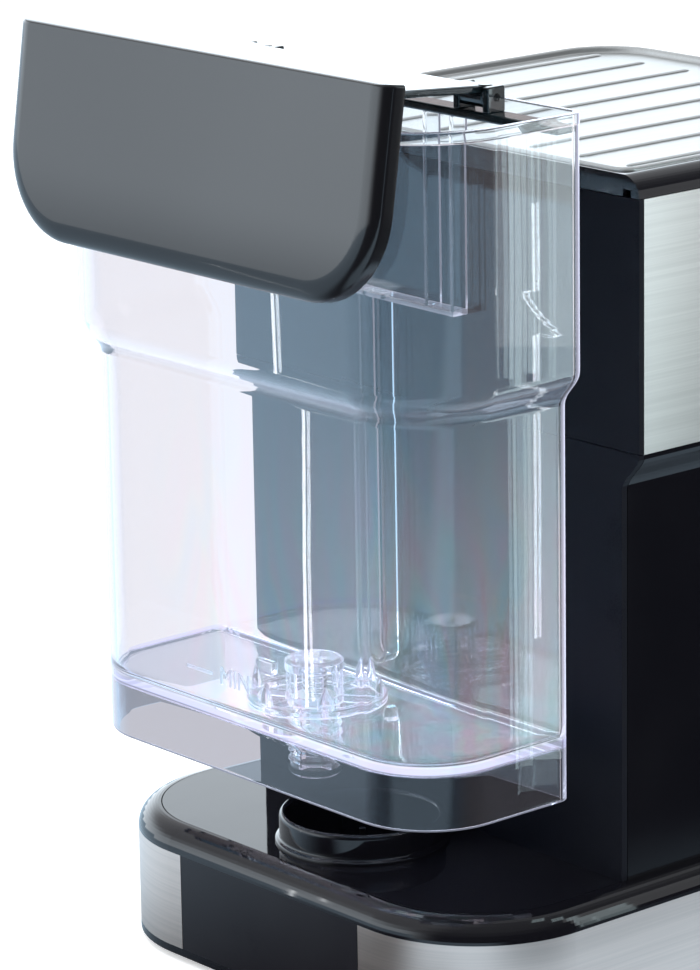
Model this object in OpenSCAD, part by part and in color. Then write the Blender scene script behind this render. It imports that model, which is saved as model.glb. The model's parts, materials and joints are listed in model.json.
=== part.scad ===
// Pod coffee machine with a lift-off water tank.
// Millimetres. +Z is up and -Y is the front, where the cup stands. Inside the modules y = 0 is the
// back face of the column and z = 0 is the table; in_frame() centres the finished machine on its box.

/* [Body] */
// Width of the head and of the base
body_w = 212; // [200:1:260]
// How far the column is set in from the head on each side
head_step = 8.6; // [6:0.2:12]
// Depth of the head
head_depth = 190; // [180:1:230]
// Depth of the column
column_depth = 95; // [80:1:110]
// Height of the deck that the tank stands on
deck_h = 50; // [46:1:64]
// Height of the column, from the deck to the head
column_h = 155; // [130:1:190]
// Height of the head
head_h = 96; // [92:1:116]
// How far the base reaches out in front of the head
base_reach = 20; // [16:1:30]
// Ledge of the base behind the tank
base_ledge = 10.7; // [10:0.1:18]
// Wall of the plastic casings
wall = 2.5; // [2:0.1:3]
// Height of the flare between column and head
flare_h = 14; // [12:1:17]
// Radius of the head's shoulders
shoulder_r = 8; // [6:0.5:9]

/* [Base] */
// Corner radius at the back of the base
base_back_r = 50; // [40:1:60]
// Corner radius at the front of the base
base_front_r = 30; // [20:1:33]
// Radius of the rim round the deck
rim_r = 8.6; // [7:0.2:9]
// Thickness of the trim strips
trim_t = 1.2; // [1:0.1:1.5]
// Height of the trim strips
trim_h = 36; // [30:1:37]
// Half the width of the dark panel between the trims at the back
rear_panel_hw = 49; // [40:1:54]
// Height of the rubber feet
foot_h = 2.5; // [2:0.5:4]
// Outer radius of the inlet collar
collar_r = 30; // [26:0.5:30]
// Height of the inlet collar above the deck
collar_h = 11; // [8:1:12]
// Depth of the inlet well below the deck
well_depth = 16; // [14:1:18]

/* [Head] */
// Thickness of the steel side panels
panel_t = 1.0; // [0.8:0.1:1.2]
// Radius of the head's front corners
head_front_r = 35; // [28:1:40]
// Depth of the head's front cover along the sides
front_cover_d = 38; // [37:1:50]
// Gap between the steel top and the bezel
top_gap = 1.5; // [1:0.1:2]
// Distance between the ribs of the steel top
rib_pitch = 24; // [20:1:26]
// Number of ribs on each half of the steel top
rib_pairs = 4; // [2:1:4]

/* [Tank] */
// Height of the open skirt under the tank's floor
skirt_h = 22; // [20:1:28]
// Depth of the tank's lower part
tank_depth = 69; // [66:1:84]
// Corner radius at the back of the tank's lower part
tank_r = 30; // [22:1:33]
// How much the upper part is wider than the lower part, on each side
tank_step = 7.5; // [5:0.5:8]
// Wall of the tank
tank_wall = 2.5; // [2:0.1:3]
// How far the tank is set in from the column on each side
tank_inset = 3; // [1:0.5:5]
// Height to which the tank is drawn lifted
lift_z = 34.5; // [20:0.5:60]
// Distance to which the tank is drawn pulled back
lift_y = 20; // [12:0.5:30]
// Radius of the outlet spout
spout_r = 8.8; // [8:0.1:9.5]

/* [Lid] */
// Angle at which the lid is drawn open
lid_open = 8.5; // [0:0.5:30]
// Width of the lid's top plate
lid_w = 128; // [116:2:140]
// Height of the lid's back panel
panel_h = 75; // [60:1:90]
// Depth of the lid's back panel
panel_d = 8.5; // [7:0.5:14]
// Lower corner radius of the back panel
panel_r = 33; // [20:1:36]

/* [Brewing] */
// Inner radius of the capsule cradle
capsule_r = 22; // [18:0.5:23]
// Depth of the capsule cradle
capsule_depth = 27.5; // [24:0.5:29]
// Travel of the brewing piston
piston_travel = 14; // [8:1:18]
// Radius of the buttons
button_r = 5.5; // [4:0.1:5.7]
// Travel of the buttons
button_travel = 1.5; // [1:0.1:2]

/* [Tray] */
// Width of the drip tray
tray_w = 141; // [120:1:144]
// Number of slots in the grate
grate_slots = 11; // [7:1:13]

/* [Fits] */
// Gap round pieces that slide out by hand
slide_gap = 0.8; // [0.5:0.1:1]
// Gap between panels that meet
seam = 0.3; // [0.2:0.05:0.5]
// Radial clearance of a pin or rod in its bore
run_fit = 0.05; // [0.02:0.01:0.1]

/* [Hidden] */
$fn = 96;
eps = 0.01;

// Overall places
body_hw = body_w / 2;
column_hw = body_hw - head_step;
head_z = deck_h + column_h;
top_z = head_z + head_h;
seam_z = top_z - shoulder_r + 0.5;
base_y0 = -head_depth - base_reach;
inner_hw = body_hw - trim_t - wall;
trim_z0 = deck_h - rim_r - trim_h;

// Tank, in its own frame: y = 0 is its front wall and z = 0 the hem of its skirt
tank_gap = 0.8;
tank_hw = column_hw - tank_inset;
shoulder_z = column_h - flare_h - 1;
shoulder_h = 13;
tank_h = column_h + head_h - 10;
tank_top_hw = tank_hw + tank_step;
tank_top_d = tank_depth + tank_step;
base_y1 = tank_gap + tank_depth + base_ledge;
outlet_y = tank_depth / 2;
spout_drop = 4;
spout_bore = 6;
thread_t = 0.8;
guide_z0 = shoulder_z + 23;
cage_r = 22;
poppet_stem_r = 2;
spring_z0 = 2.15;
spring_z1 = 13.45;

// Lid, in the tank's frame and closed
hinge_y = 7;
hinge_z = tank_h + 1;
hinge_r = 4;
lid_pin_r = 1.5;
knuckle_x = lid_w / 2 - 12;
knuckle_l = 11;
plate_t = 3;
plate_z = hinge_z + hinge_r - plate_t;
panel_y1 = tank_top_d + seam + panel_d;
panel_z1 = plate_z + plate_t + wall;
panel_hw = tank_top_hw - 4;
panel_z0 = panel_z1 - panel_h;

// The drawn machine's rearmost point is the lower edge of the open lid's back panel
rear_reach = tank_gap + lift_y + hinge_y + (panel_y1 - hinge_y) * cos(lid_open)
    + (hinge_z - panel_z0) * sin(lid_open);
frame_y = (-base_y0 - rear_reach) / 2;

// Head shell, bezel and steel top
back_t = 2;
shell_hw = body_hw - panel_t;
shell_y1 = -back_t - seam;
bezel_w = 11;
top_hw = body_hw - shoulder_r - top_gap;
top_y0 = -head_depth + shoulder_r + top_gap;
top_y1 = -back_t - 0.5;
top_front_r = head_front_r - shoulder_r - top_gap;

// Front door, brewing axis and buttons
skin = 1.2;
shell_front_r = head_front_r - skin;
front_in = -head_depth + skin + wall;
cradle_t = 2;
cradle_gap = 5;
door_hw = capsule_r + cradle_t + 8;
door_y = -head_depth;
door_t = 4;
door_pivot_y = door_y + door_t;
door_pivot_z = head_z + 12;
door_z1 = door_pivot_z + norm([capsule_depth, cradle_gap + 2 * (capsule_r + cradle_t)]) + seam;
pin_r = 2;
handle_reach = 13;
handle_l = 52;
handle_r = 4.5;
post_x = 20;
post_r = 3;
brew_z = door_pivot_z + cradle_gap + capsule_r + cradle_t;
cradle_y1 = door_pivot_y + capsule_depth;
piston_y0 = cradle_y1 + 1.5;
piston_t = 8;
rod_r = 8;
guide_y0 = piston_y0 + piston_t + piston_travel + 3;
guide_l = 24;
button_z = door_z1 + 8.5;
button_x = [-36, -12, 12, 36];
collar_t = 1.4;
board_y = front_in + seam + collar_t + button_travel + 2;
outlet_x = 8;
outlet_r = 5;
outlet_bore = 3;
outlet_l = 32;
nozzle_r = 15;
nozzle_h = 12;
nozzle_bore = 10;
neck_h = 4;
spout_y = door_pivot_y + 15;

// Drip tray
tray_hw = tray_w / 2;
tray_y0 = base_y0;
tray_y1 = -column_depth - flare_h + 5;
tray_z0 = foot_h + 10.5;
grate_t = 4;
float_x = 50;
float_y = tray_y1 - 10;
float_r = 4.5;

// Inner layout
pump_y = -column_depth * 0.58;
pump_z = deck_h / 2 + 1;
pump_hl = 20;
pump_s = 34;
riser_x = column_hw - 27;
meter = [-62, 8];
meter_r = 13;
boiler_y = -45;
boiler_z = head_z + wall + 7.5;
boiler = [70, 50, 56];
boss_r = 4.5;
boss_x = inner_hw - boss_r - 9;
boss_y = [base_y0 + base_front_r + 30, 10];
foot_r = 9;
foot_x = inner_hw - 24;
foot_y = [base_y0 + 30, base_y1 - 32];
stud_r = 3;
gland_x = -50;
gland_y = 55;
gland_r = 7;
vent_pairs = 4;
vent_pitch = 9;
vent_w = 3;
vent_l = 40;

// ---- helpers ----

// Moves the finished machine so that its box is centred on the origin
module in_frame() translate([0, frame_y, 0]) children();

// A block that stands at a height, centred on a point seen from above
module box_at(c, s) translate([c.x - s.x / 2, c.y - s.y / 2, c.z]) cube(s);

// Points along an arc
function arc(c, r, a0, a1, n = 12) =
    [for (i = [0:n]) c + r * [cos(a0 + (a1 - a0) * i / n), sin(a0 + (a1 - a0) * i / n)]];

// An S-shaped step of width w and height h, from [0, z] up to [w, z + h]
function step_curve(w, z, h, n = 8) =
    [for (i = [0:n]) [w * (1 - cos(180 * i / n)) / 2, z + h * i / n]];

function flip(points) = [for (i = [len(points) - 1:-1:0]) points[i]];

// Rounded plan outline with front radius rf and back radius rb
module plan(hw, y0, y1, rf, rb) {
    translate([-hw, y0 + rf]) square([2 * hw, y1 - rb - y0 - rf]);
    translate([-hw + rf, y0]) square([2 * (hw - rf), rf + eps]);
    translate([-hw + rb, y1 - rb - eps]) square([2 * (hw - rb), rb + eps]);
    for (s = [-1, 1]) {
        if (rf > 0) translate([s * (hw - rf), y0 + rf]) circle(rf);
        if (rb > 0) translate([s * (hw - rb), y1 - rb]) circle(rb);
    }
}

module slab(z0, z1) translate([0, 0, z0]) linear_extrude(z1 - z0) children();

// Sweeps a profile along the right-hand half of a plan outline. The profile's x runs outward and
// its y upward. The sweep stops at x = xf on the front and x = xb on the back, or at the side's
// end where that value is undef.
module half_loop(hw, y0, y1, rf, rb, xf = 0, xb = 0) {
    translate([hw, y1 - rb, 0]) rotate([90, 0, 0]) linear_extrude(y1 - rb - y0 - rf) children();
    if (!is_undef(xb)) {
        if (rb > 0) translate([hw - rb, y1 - rb, 0]) rotate_extrude(angle = 90) translate([rb, 0]) children();
        translate([xb, y1, 0]) rotate([90, 0, 90]) linear_extrude(hw - rb - xb) children();
    }
    if (!is_undef(xf)) {
        if (rf > 0) translate([hw - rf, y0 + rf, 0]) rotate([0, 0, -90])
            rotate_extrude(angle = 90) translate([rf, 0]) children();
        mirror([0, 1, 0]) translate([xf, -y0, 0]) rotate([90, 0, 90]) linear_extrude(hw - rf - xf) children();
    }
}

module both_sides() {
    children();
    mirror([1, 0, 0]) children();
}

module loop(hw, y0, y1, rf, rb, xf = 0, xb = 0)
    both_sides() half_loop(hw, y0, y1, rf, rb, xf, xb) children();

// Area between a side's profile, drawn at x = hw, and its mirror image
module between_sides(curve, hw) polygon(concat([for (p = curve) p + [hw, 0]],
    flip([for (p = curve) [-p.x - hw, p.y]])));

// Cylinders along the axes, from a start point
module rod_x(p, l, r) translate(p) rotate([0, 90, 0]) cylinder(h = l, r = r);
module rod_y(p, l, r) translate(p) rotate([-90, 0, 0]) cylinder(h = l, r = r);
module rod_z(p, l, r) translate(p) cylinder(h = l, r = r);

module tube_y(p, l, r, bore) difference() {
    rod_y(p, l, r);
    rod_y(p - [0, 1, 0], l + 2, bore);
}

module tube_z(p, l, r, bore) difference() {
    rod_z(p, l, r);
    rod_z(p - [0, 0, 1], l + 2, bore);
}

// A box centred in x
module box(w, y0, y1, z0, z1) translate([-w / 2, y0, z0]) cube([w, y1 - y0, z1 - z0]);

// A hose that runs straight between points, with round elbows
module hose(points, r) {
    for (i = [0:len(points) - 2]) {
        d = points[i + 1] - points[i];
        translate(points[i]) rotate([0, acos(d.z / norm(d)), atan2(d.y, d.x)]) cylinder(h = norm(d), r = r);
    }
    for (i = [1:len(points) - 2]) translate(points[i]) sphere(r + 0.1);
}

// Puts a child drawn in the tank's frame where the lifted tank stands
module on_tank() in_frame() translate([0, tank_gap + lift_y, deck_h + lift_z]) children();

// Puts a child drawn with the lid closed where the open lid stands
module on_lid() on_tank() translate([0, hinge_y, hinge_z]) rotate([lid_open, 0, 0])
    translate([0, -hinge_y, -hinge_z]) children();

// ---- base ----

// Wall and rounded rim of the base, with the recess for the trims
module base_profile() polygon(concat(
    [[-trim_t - wall, foot_h], [0, foot_h], [0, trim_z0], [-trim_t, trim_z0], [-trim_t, trim_z0 + trim_h]],
    arc([-rim_r, deck_h - rim_r], rim_r, 0, 90),
    [[-rim_r, deck_h - wall], [-rim_r + 1, deck_h - wall - 1], [-trim_t - wall, deck_h - rim_r]]));

module base_shell() color([0.02, 0.02, 0.025]) in_frame() difference() {
    loop(body_hw, base_y0, base_y1, base_front_r, base_back_r) base_profile();
    box(tray_w + 2 * slide_gap, base_y0 - 1, base_y0 + 20, tray_z0 - slide_gap, deck_h + 1);
}

module deck_plate() color([0.02, 0.02, 0.025]) in_frame() difference() {
    union() {
        slab(deck_h - wall, deck_h)
            plan(body_hw - rim_r - seam, base_y0 + rim_r + seam, base_y1 - rim_r - seam,
                base_front_r - rim_r, base_back_r - rim_r);
        for (x = [-boss_x, boss_x], y = boss_y)
            rod_z([x, y, foot_h + wall], deck_h - foot_h - 2 * wall, boss_r);
    }
    box(tray_w + 2 * slide_gap, base_y0 - 1, tray_y1 + slide_gap, 0, deck_h + 1);
    rod_z([0, tank_gap + outlet_y, 0], deck_h + 1, collar_r);
    for (x = [-riser_x, riser_x]) rod_z([x, pump_y, deck_h - wall - 1], wall + 2, 12);
    for (x = [-boss_x, boss_x], y = boss_y) rod_z([x, y, foot_h], 18, 1.6);
}

// Dark insert between the trims at the back
module rear_plinth() color([0.03, 0.03, 0.035]) in_frame()
    box(2 * (rear_panel_hw - seam), base_y1 - trim_t, base_y1, trim_z0, trim_z0 + trim_h);

module trim_half() half_loop(body_hw, base_y0, base_y1, base_front_r, base_back_r,
    tray_hw + slide_gap, rear_panel_hw)
    translate([-trim_t, trim_z0]) square([trim_t, trim_h]);

module trim_right() color([0.72, 0.70, 0.68]) in_frame() trim_half();

module trim_left() color([0.72, 0.70, 0.68]) in_frame() mirror([1, 0, 0]) trim_half();

module base_plate() color([0.1, 0.1, 0.1]) in_frame() difference() {
    slab(foot_h, foot_h + wall)
        plan(inner_hw - seam, base_y0 + trim_t + wall + seam, base_y1 - trim_t - wall - seam,
            base_front_r - trim_t - wall, base_back_r - trim_t - wall);
    for (x = [-foot_x, foot_x], y = foot_y) rod_z([x, y, 0], 20, stud_r + run_fit);
    for (x = [-boss_x, boss_x], y = boss_y) rod_z([x, y, 0], 20, 1.7);
    rod_z([gland_x, gland_y, 0], 20, gland_r + run_fit);
    for (i = [-vent_pairs:vent_pairs])
        box_at([i * vent_pitch, pump_y, foot_h - 1], [vent_w, vent_l, wall + 2]);
}

module feet() color([0.05, 0.05, 0.05]) in_frame() for (x = [-foot_x, foot_x], y = foot_y) {
    rod_z([x, y, 0], foot_h, foot_r);
    rod_z([x, y, foot_h], wall + 1.5, stud_r);
}

module base_screws() color([0.6, 0.6, 0.62]) in_frame() for (x = [-boss_x, boss_x], y = boss_y) {
    rod_z([x, y, foot_h - 1.6], 1.6, 3.4);
    rod_z([x, y, foot_h], 15, 1.5);
}

// Bush for the mains lead, in the underside
module cable_gland() color([0.06, 0.06, 0.06]) in_frame() difference() {
    union() {
        rod_z([gland_x, gland_y, foot_h - 1], 1, gland_r + 2);
        rod_z([gland_x, gland_y, foot_h], wall + 6, gland_r);
    }
    rod_z([gland_x, gland_y, 0], 20, 3.5);
}

// ---- tank inlet ----

// Turned profile: collar above the deck, flange on it and the well below
module inlet_collar() color([0.02, 0.02, 0.025]) in_frame() translate([0, tank_gap + outlet_y, deck_h])
    difference() {
        union() {
            rod_z([0, 0, -well_depth - 2], well_depth + 2, collar_r - seam);
            rod_z([0, 0, 0], 1.5, collar_r + 1.5);
            rod_z([0, 0, 0], collar_h, collar_r);
        }
        rod_z([0, 0, -well_depth], well_depth + collar_h + 1, collar_r - 2.5);
        rod_z([0, 0, -well_depth - 3], 5, 5);
    }

module inlet_nozzle() color([0.85, 0.85, 0.82]) in_frame() translate([0, tank_gap + outlet_y, deck_h])
    difference() {
        union() {
            rod_z([0, 0, -well_depth - 14], 14, 4.9);
            rod_z([0, 0, -well_depth], well_depth - spout_drop - 3, 7);
        }
        rod_z([0, 0, -well_depth - 15], well_depth + 15, 3);
    }

// Rubber ring that the spout closes on
module inlet_seal() color([0.1, 0.1, 0.1]) in_frame()
    translate([0, tank_gap + outlet_y, deck_h - spout_drop - 3]) tube_z([0, 0, 0], 2.7, 11, 4);

module valve_pin() color([0.75, 0.75, 0.76]) in_frame() translate([0, tank_gap + outlet_y, deck_h]) {
    rod_z([0, 0, -well_depth], well_depth + 3.6, 1.2);
    for (a = [0, 90]) rotate([0, 0, a]) box(5.8, -0.6, 0.6, -well_depth, -well_depth + 3);
}

// ---- drip tray ----

module tray_bay() color([0.06, 0.06, 0.06]) in_frame() {
    bay = tray_w + 2 * slide_gap;
    floor_z = tray_z0 - slide_gap;
    y0 = base_y0 + rim_r + seam;
    y1 = tray_y1 + slide_gap;
    box(bay + 4, y0, y1 + 2, floor_z - 2, floor_z);
    box(bay + 4, y1, y1 + 2, floor_z, deck_h - wall);
    for (s = [-1, 1]) translate([s * (bay / 2 + 1), 0, 0]) box(2, y0, y1, floor_z, deck_h - wall);
}

module drip_tray() color([0.04, 0.04, 0.045]) in_frame() difference() {
    union() {
        box(tray_w, tray_y0, tray_y1, tray_z0, deck_h - grate_t - seam);
        box(tray_w, tray_y0, tray_y0 + 4, tray_z0, deck_h);
    }
    box(tray_w - 4, tray_y0 + 4, tray_y1 - 2, tray_z0 + 2, deck_h + 1);
    box(60, tray_y0 - 1, tray_y0 + 2, tray_z0 - 1, tray_z0 + 7);
}

module drip_grate() color([0.7, 0.7, 0.7]) in_frame() difference() {
    y0 = tray_y0 + 4 + seam;
    y1 = tray_y1;
    pitch = (tray_w - 12) / grate_slots;
    box(tray_w - 1, y0, y1, deck_h - grate_t, deck_h);
    for (i = [0:grate_slots - 1]) translate([(i - (grate_slots - 1) / 2) * pitch, 0, 0])
        box(pitch / 2, y0 + 8, y1 - 30, deck_h - grate_t - 1, deck_h + 1);
    rod_z([float_x, float_y, deck_h - grate_t - 1], grate_t + 2, float_r + 1.5);
}

module tray_float() color([0.75, 0.08, 0.06]) in_frame() {
    rod_z([float_x, float_y, tray_z0 + 3], deck_h - 1 - tray_z0 - 3, float_r);
    rod_z([float_x, float_y, tray_z0 + 3], 6, float_r + 3);
}

// ---- column ----

// Height profile of the column's wall: straight, then flared out to the head
function column_curve(inset) = concat([[-inset, deck_h]],
    [for (p = step_curve(head_step, head_z - flare_h, flare_h)) p - [inset, 0]]);

module column_profile() polygon(concat(column_curve(0), flip(column_curve(wall))));

module column_shell() color([0.02, 0.02, 0.022]) in_frame() {
    loop(column_hw, -column_depth, -seam - wall, 12, 0, 0, undef) column_profile();
    for (x = [-40, 40], z = [head_z - 90, head_z - 30])
        rod_y([x, -column_depth + wall, z], 4, 3);
}

// Back cover of the column, cut to the same flare
module column_back() color([0.1, 0.1, 0.115]) in_frame()
    rotate([90, 0, 0]) linear_extrude(wall) between_sides(column_curve(0), column_hw);

// ---- head ----

module head_shell() color([0.03, 0.03, 0.035]) in_frame() difference() {
    union() {
        loop(shell_hw, -head_depth + skin, shell_y1, shell_front_r, 0, 0, undef)
            translate([-wall, head_z]) square([wall, seam_z - seam - head_z]);
        slab(head_z, head_z + wall)
            plan(shell_hw - wall / 2, -head_depth + skin + wall / 2, shell_y1, shell_front_r - wall / 2, 0);
        for (s = [-1, 1]) translate([s * (door_hw + 3), 0, 0])
            box(3.6, front_in - eps, front_in + 6, door_pivot_z - 5, door_pivot_z + 5);
    }
    box(2 * door_hw + 2, -head_depth - 1, front_in + 8, door_pivot_z - door_t - 0.5, door_z1 + 1);
    rod_x([-door_hw - 8, door_pivot_y, door_pivot_z], 2 * door_hw + 16, pin_r);
    for (x = button_x) rod_y([x, -head_depth - 1, button_z], 10, button_r + 0.5);
    for (x = [-riser_x, riser_x]) translate([x, 0, 0]) box(24, pump_y - 12, pump_y + 12, head_z - 1, head_z + wall + 1);
    rod_z([0, spout_y, head_z - 1], wall + 2, 12);
}

module head_back() color([0.09, 0.1, 0.115]) in_frame()
    box(body_w, -back_t, 0, head_z + seam, seam_z - seam);

module side_panel() box_at([body_hw - panel_t / 2, (shell_y1 - head_depth + front_cover_d + seam) / 2, head_z],
    [panel_t, shell_y1 + head_depth - front_cover_d - seam, seam_z - seam - head_z]);

module side_panel_right() color([0.75, 0.74, 0.72]) in_frame() side_panel();

module side_panel_left() color([0.75, 0.74, 0.72]) in_frame() mirror([1, 0, 0]) side_panel();

// Wraps round the front corners, over the shell
module front_cover() color([0.02, 0.02, 0.022]) in_frame() difference() {
    loop(body_hw, -head_depth, -head_depth + front_cover_d, head_front_r, 0, 0, undef)
        translate([-panel_t, head_z]) square([panel_t, seam_z - seam - head_z]);
    box(2 * door_hw + 2, -head_depth - 1, front_in, door_pivot_z - door_t - 0.5, door_z1 + 1);
    for (x = button_x) rod_y([x, -head_depth - 1, button_z], 10, button_r + 0.15);
}

module bezel_profile() polygon(concat([[0, seam_z]],
    arc([-shoulder_r, top_z - shoulder_r], shoulder_r, 3, 90),
    [[-shoulder_r - 0.6, top_z], [-shoulder_r - 0.6, top_z - 2.5], [-bezel_w, top_z - 2.5],
        [-bezel_w, top_z - 5], [-4, top_z - 5], [-4, seam_z]]));

module top_bezel() color([0.02, 0.02, 0.022]) in_frame() {
    loop(body_hw, -head_depth, 0, head_front_r, 0, 0, undef) bezel_profile();
    box(2 * (body_hw - shoulder_r), -back_t, 0, seam_z, top_z);
}

// Steel top with a rolled edge and straight ribs
module top_plate() color([0.8, 0.79, 0.77]) in_frame() {
    slab(top_z - 2.3, top_z - 1.3) plan(top_hw - 1.5, top_y0 + 1.5, top_y1 - 1.5, top_front_r - 1.5, 5);
    loop(top_hw, top_y0, top_y1, top_front_r, 6.5)
        polygon(concat([[-3.5, top_z - 2.3], [0, top_z - 2.3]], arc([-1.6, top_z - 0.6], 1.6, 0, 180)));
    intersection() {
        for (i = [0:rib_pairs - 1], s = [-1, 1]) translate([s * (i + 0.5) * rib_pitch, 0, top_z - 2])
            rod_y([0, top_y0 + 16, 0], top_y1 - top_y0 - 29, 1.5);
        box(body_w, -head_depth, 0, top_z - 1.4, top_z + 2);
    }
}

// ---- pump, heater and wiring ----

module pump_body() color([0.85, 0.84, 0.8]) in_frame() {
    rod_x([-pump_hl - 26, pump_y, pump_z], 2 * pump_hl + 50, 8);
    rod_x([-pump_hl - 36, pump_y, pump_z], 10, 3.5);
    rod_x([pump_hl + 24, pump_y, pump_z], 8, 5);
}

module pump_coil() color([0.15, 0.15, 0.16]) in_frame() difference() {
    translate([-pump_hl, pump_y - pump_s / 2, pump_z - pump_s / 2]) cube([2 * pump_hl, pump_s, pump_s]);
    rod_x([-pump_hl - 1, pump_y, pump_z], 2 * pump_hl + 2, 8 + run_fit);
}

module pump_mounts() color([0.08, 0.08, 0.08]) in_frame() for (x = [-13, 13])
    translate([x - 4, pump_y - 15, foot_h + wall]) cube([8, 30, pump_z - pump_s / 2 - foot_h - wall]);

module flow_meter() color([0.8, 0.8, 0.78]) in_frame() translate([meter.x, meter.y, foot_h + wall]) {
    rod_z([0, 0, 0], 16, meter_r);
    rod_z([0, 0, 16], 3, 9);
}

module suction_hose() color([0.9, 0.9, 0.9, 0.6]) in_frame() {
    z = foot_h + wall + 8;
    nozzle = [0, tank_gap + outlet_y, deck_h - well_depth - 14];
    side = meter.x - meter_r - 4;
    hose([nozzle, [nozzle.x, nozzle.y, z], [nozzle.x, meter.y, z], [meter.x + meter_r, meter.y, z]], 3);
    hose([[meter.x - meter_r, meter.y, z], [side, meter.y, z], [side, pump_y, z], [side, pump_y, pump_z],
        [-pump_hl - 36, pump_y, pump_z]], 3);
}

module pressure_hose() color([0.92, 0.92, 0.9]) in_frame() {
    in_z = boiler_z + 12;
    hose([[pump_hl + 32, pump_y, pump_z], [riser_x, pump_y, pump_z], [riser_x, pump_y, in_z],
        [boiler.x / 2, pump_y, in_z]], 2.5);
}

module brew_hose() color([0.92, 0.92, 0.9]) in_frame() {
    out_z = boiler_z + boiler.z;
    top = top_z - 12;
    hose([[15, boiler_y - 12, out_z], [15, boiler_y - 12, top],
        [0, guide_y0 + guide_l / 2, top], [0, guide_y0 + guide_l / 2, brew_z + 20]], 2.5);
}

module thermoblock() color([0.7, 0.7, 0.71]) in_frame() translate([0, boiler_y, boiler_z]) {
    difference() {
        translate([-boiler.x / 2, -boiler.y / 2, 0]) cube(boiler);
        for (i = [-3:3]) box_at([i * 9, boiler.y / 2, 5], [4, 10, boiler.z - 10]);
    }
}

module boiler_bracket() color([0.6, 0.6, 0.6]) in_frame() for (s = [-1, 1])
    translate([s * (boiler.x / 2 - 6), boiler_y, head_z + wall]) box(8, -boiler.y / 2, boiler.y / 2, 0,
        boiler_z - head_z - wall);

module thermostat() color([0.3, 0.3, 0.3]) in_frame()
    rod_z([-18, boiler_y, boiler_z + boiler.z], 6, 9);

module control_board() color([0.05, 0.3, 0.12]) in_frame() {
    y = -column_depth + wall + 4;
    box(100, y, y + 1.6, head_z - 105, head_z - 15);
    translate([-25, 0, 0]) box(28, y + 1.6, y + 19, head_z - 95, head_z - 70);
    translate([22, 0, 0]) box(18, y + 1.6, y + 15, head_z - 60, head_z - 35);
    for (i = [0:2]) rod_y([-35 + 14 * i, y + 1.6, head_z - 30], 14, 5);
}

module button_board() color([0.05, 0.3, 0.12]) in_frame()
    box(96, board_y, board_y + 1.6, button_z - 5, button_z + 5);

// ---- brewing group ----

module brew_guide() color([0.12, 0.12, 0.12]) in_frame() difference() {
    union() {
        rod_y([0, guide_y0, brew_z], guide_l, 16);
        rod_z([0, guide_y0 + guide_l / 2, brew_z], 20, 4);
        box(24, guide_y0 + 3, guide_y0 + guide_l - 3, head_z + wall, brew_z);
    }
    rod_y([0, guide_y0 - 1, brew_z], guide_l + 2, rod_r + run_fit);
}

module brew_piston() color([0.7, 0.7, 0.72]) in_frame() {
    rod_y([0, piston_y0, brew_z], piston_t, capsule_r + 1);
    rod_y([0, piston_y0 + piston_t, brew_z], guide_l + piston_travel + 6, rod_r);
}

module piston_seal() color([0.6, 0.1, 0.08]) in_frame()
    tube_y([0, piston_y0 - 1, brew_z], 1, capsule_r, capsule_r - 3);

module door_pin() color([0.75, 0.75, 0.76]) in_frame()
    rod_x([-door_hw - 4.8, door_pivot_y, door_pivot_z], 2 * door_hw + 9.6, pin_r);

module capsule_door() color([0.02, 0.02, 0.022]) in_frame() difference() {
    union() {
        box(2 * door_hw, door_y, door_y + door_t, door_pivot_z, door_z1);
        rod_x([-door_hw, door_pivot_y, door_pivot_z], 2 * door_hw, door_t);
    }
    rod_x([-door_hw - 1, door_pivot_y, door_pivot_z], 2 * door_hw + 2, pin_r + run_fit);
}

module door_handle() color([0.78, 0.77, 0.75]) in_frame() {
    z = door_z1 - 8;
    y = door_y - handle_reach;
    rod_x([-handle_l / 2, y, z], handle_l, handle_r);
    for (x = [-post_x, post_x]) rod_y([x, y, z], handle_reach, post_r);
}

module capsule_cradle() color([0.08, 0.08, 0.08]) in_frame()
    tube_y([0, door_pivot_y, brew_z], capsule_depth, capsule_r + cradle_t, capsule_r);

module capsule_piercer() color([0.8, 0.8, 0.8]) in_frame() for (a = [0:60:300])
    rod_y([12 * cos(a), door_pivot_y, brew_z + 12 * sin(a)], 5, 1.2);

module coffee_spout() color([0.05, 0.05, 0.05]) in_frame() translate([0, spout_y, head_z]) {
    difference() {
        union() {
            rod_z([0, 0, wall], neck_h, nozzle_r - 1.5);
            rod_z([0, 0, 0], wall, nozzle_r - 3.1);
            rod_z([0, 0, -nozzle_h], nozzle_h, nozzle_r);
            for (s = [-1, 1]) rod_z([s * outlet_x, 0, -outlet_l], outlet_l - nozzle_h, outlet_r);
        }
        rod_z([0, 0, neck_h - nozzle_h], nozzle_h + neck_h + wall + 1, nozzle_bore);
        for (s = [-1, 1]) rod_z([s * outlet_x, 0, -outlet_l - 1], outlet_l + 2, outlet_bore);
    }
}

// ---- buttons ----

// A button stands proud of the cover by its travel and is held by a collar behind the shell
module button(x, tint) color(tint) in_frame() {
    rod_y([x, -head_depth - button_travel - 0.1, button_z], front_in + seam + head_depth + button_travel + 0.2,
        button_r);
    rod_y([x, front_in + seam, button_z], collar_t, button_r + 1.2);
}

module power_button() button(button_x[0], [0.7, 0.7, 0.7]);

module small_cup_button() button(button_x[1], [0.8, 0.79, 0.77]);

module medium_cup_button() button(button_x[2], [0.8, 0.79, 0.77]);

module large_cup_button() button(button_x[3], [0.8, 0.79, 0.77]);

// ---- tank ----

function tank_curve(inset) = concat([[-inset, 0]],
    [for (p = step_curve(tank_step, shoulder_z, shoulder_h)) p - [inset, 0]], [[tank_step - inset, tank_h]]);

module tank_profile() polygon(concat(tank_curve(0), flip(tank_curve(tank_wall))));

// Lip round the rim
module lip_profile() translate([tank_step, tank_h - 4]) square([1, 4]);

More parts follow.
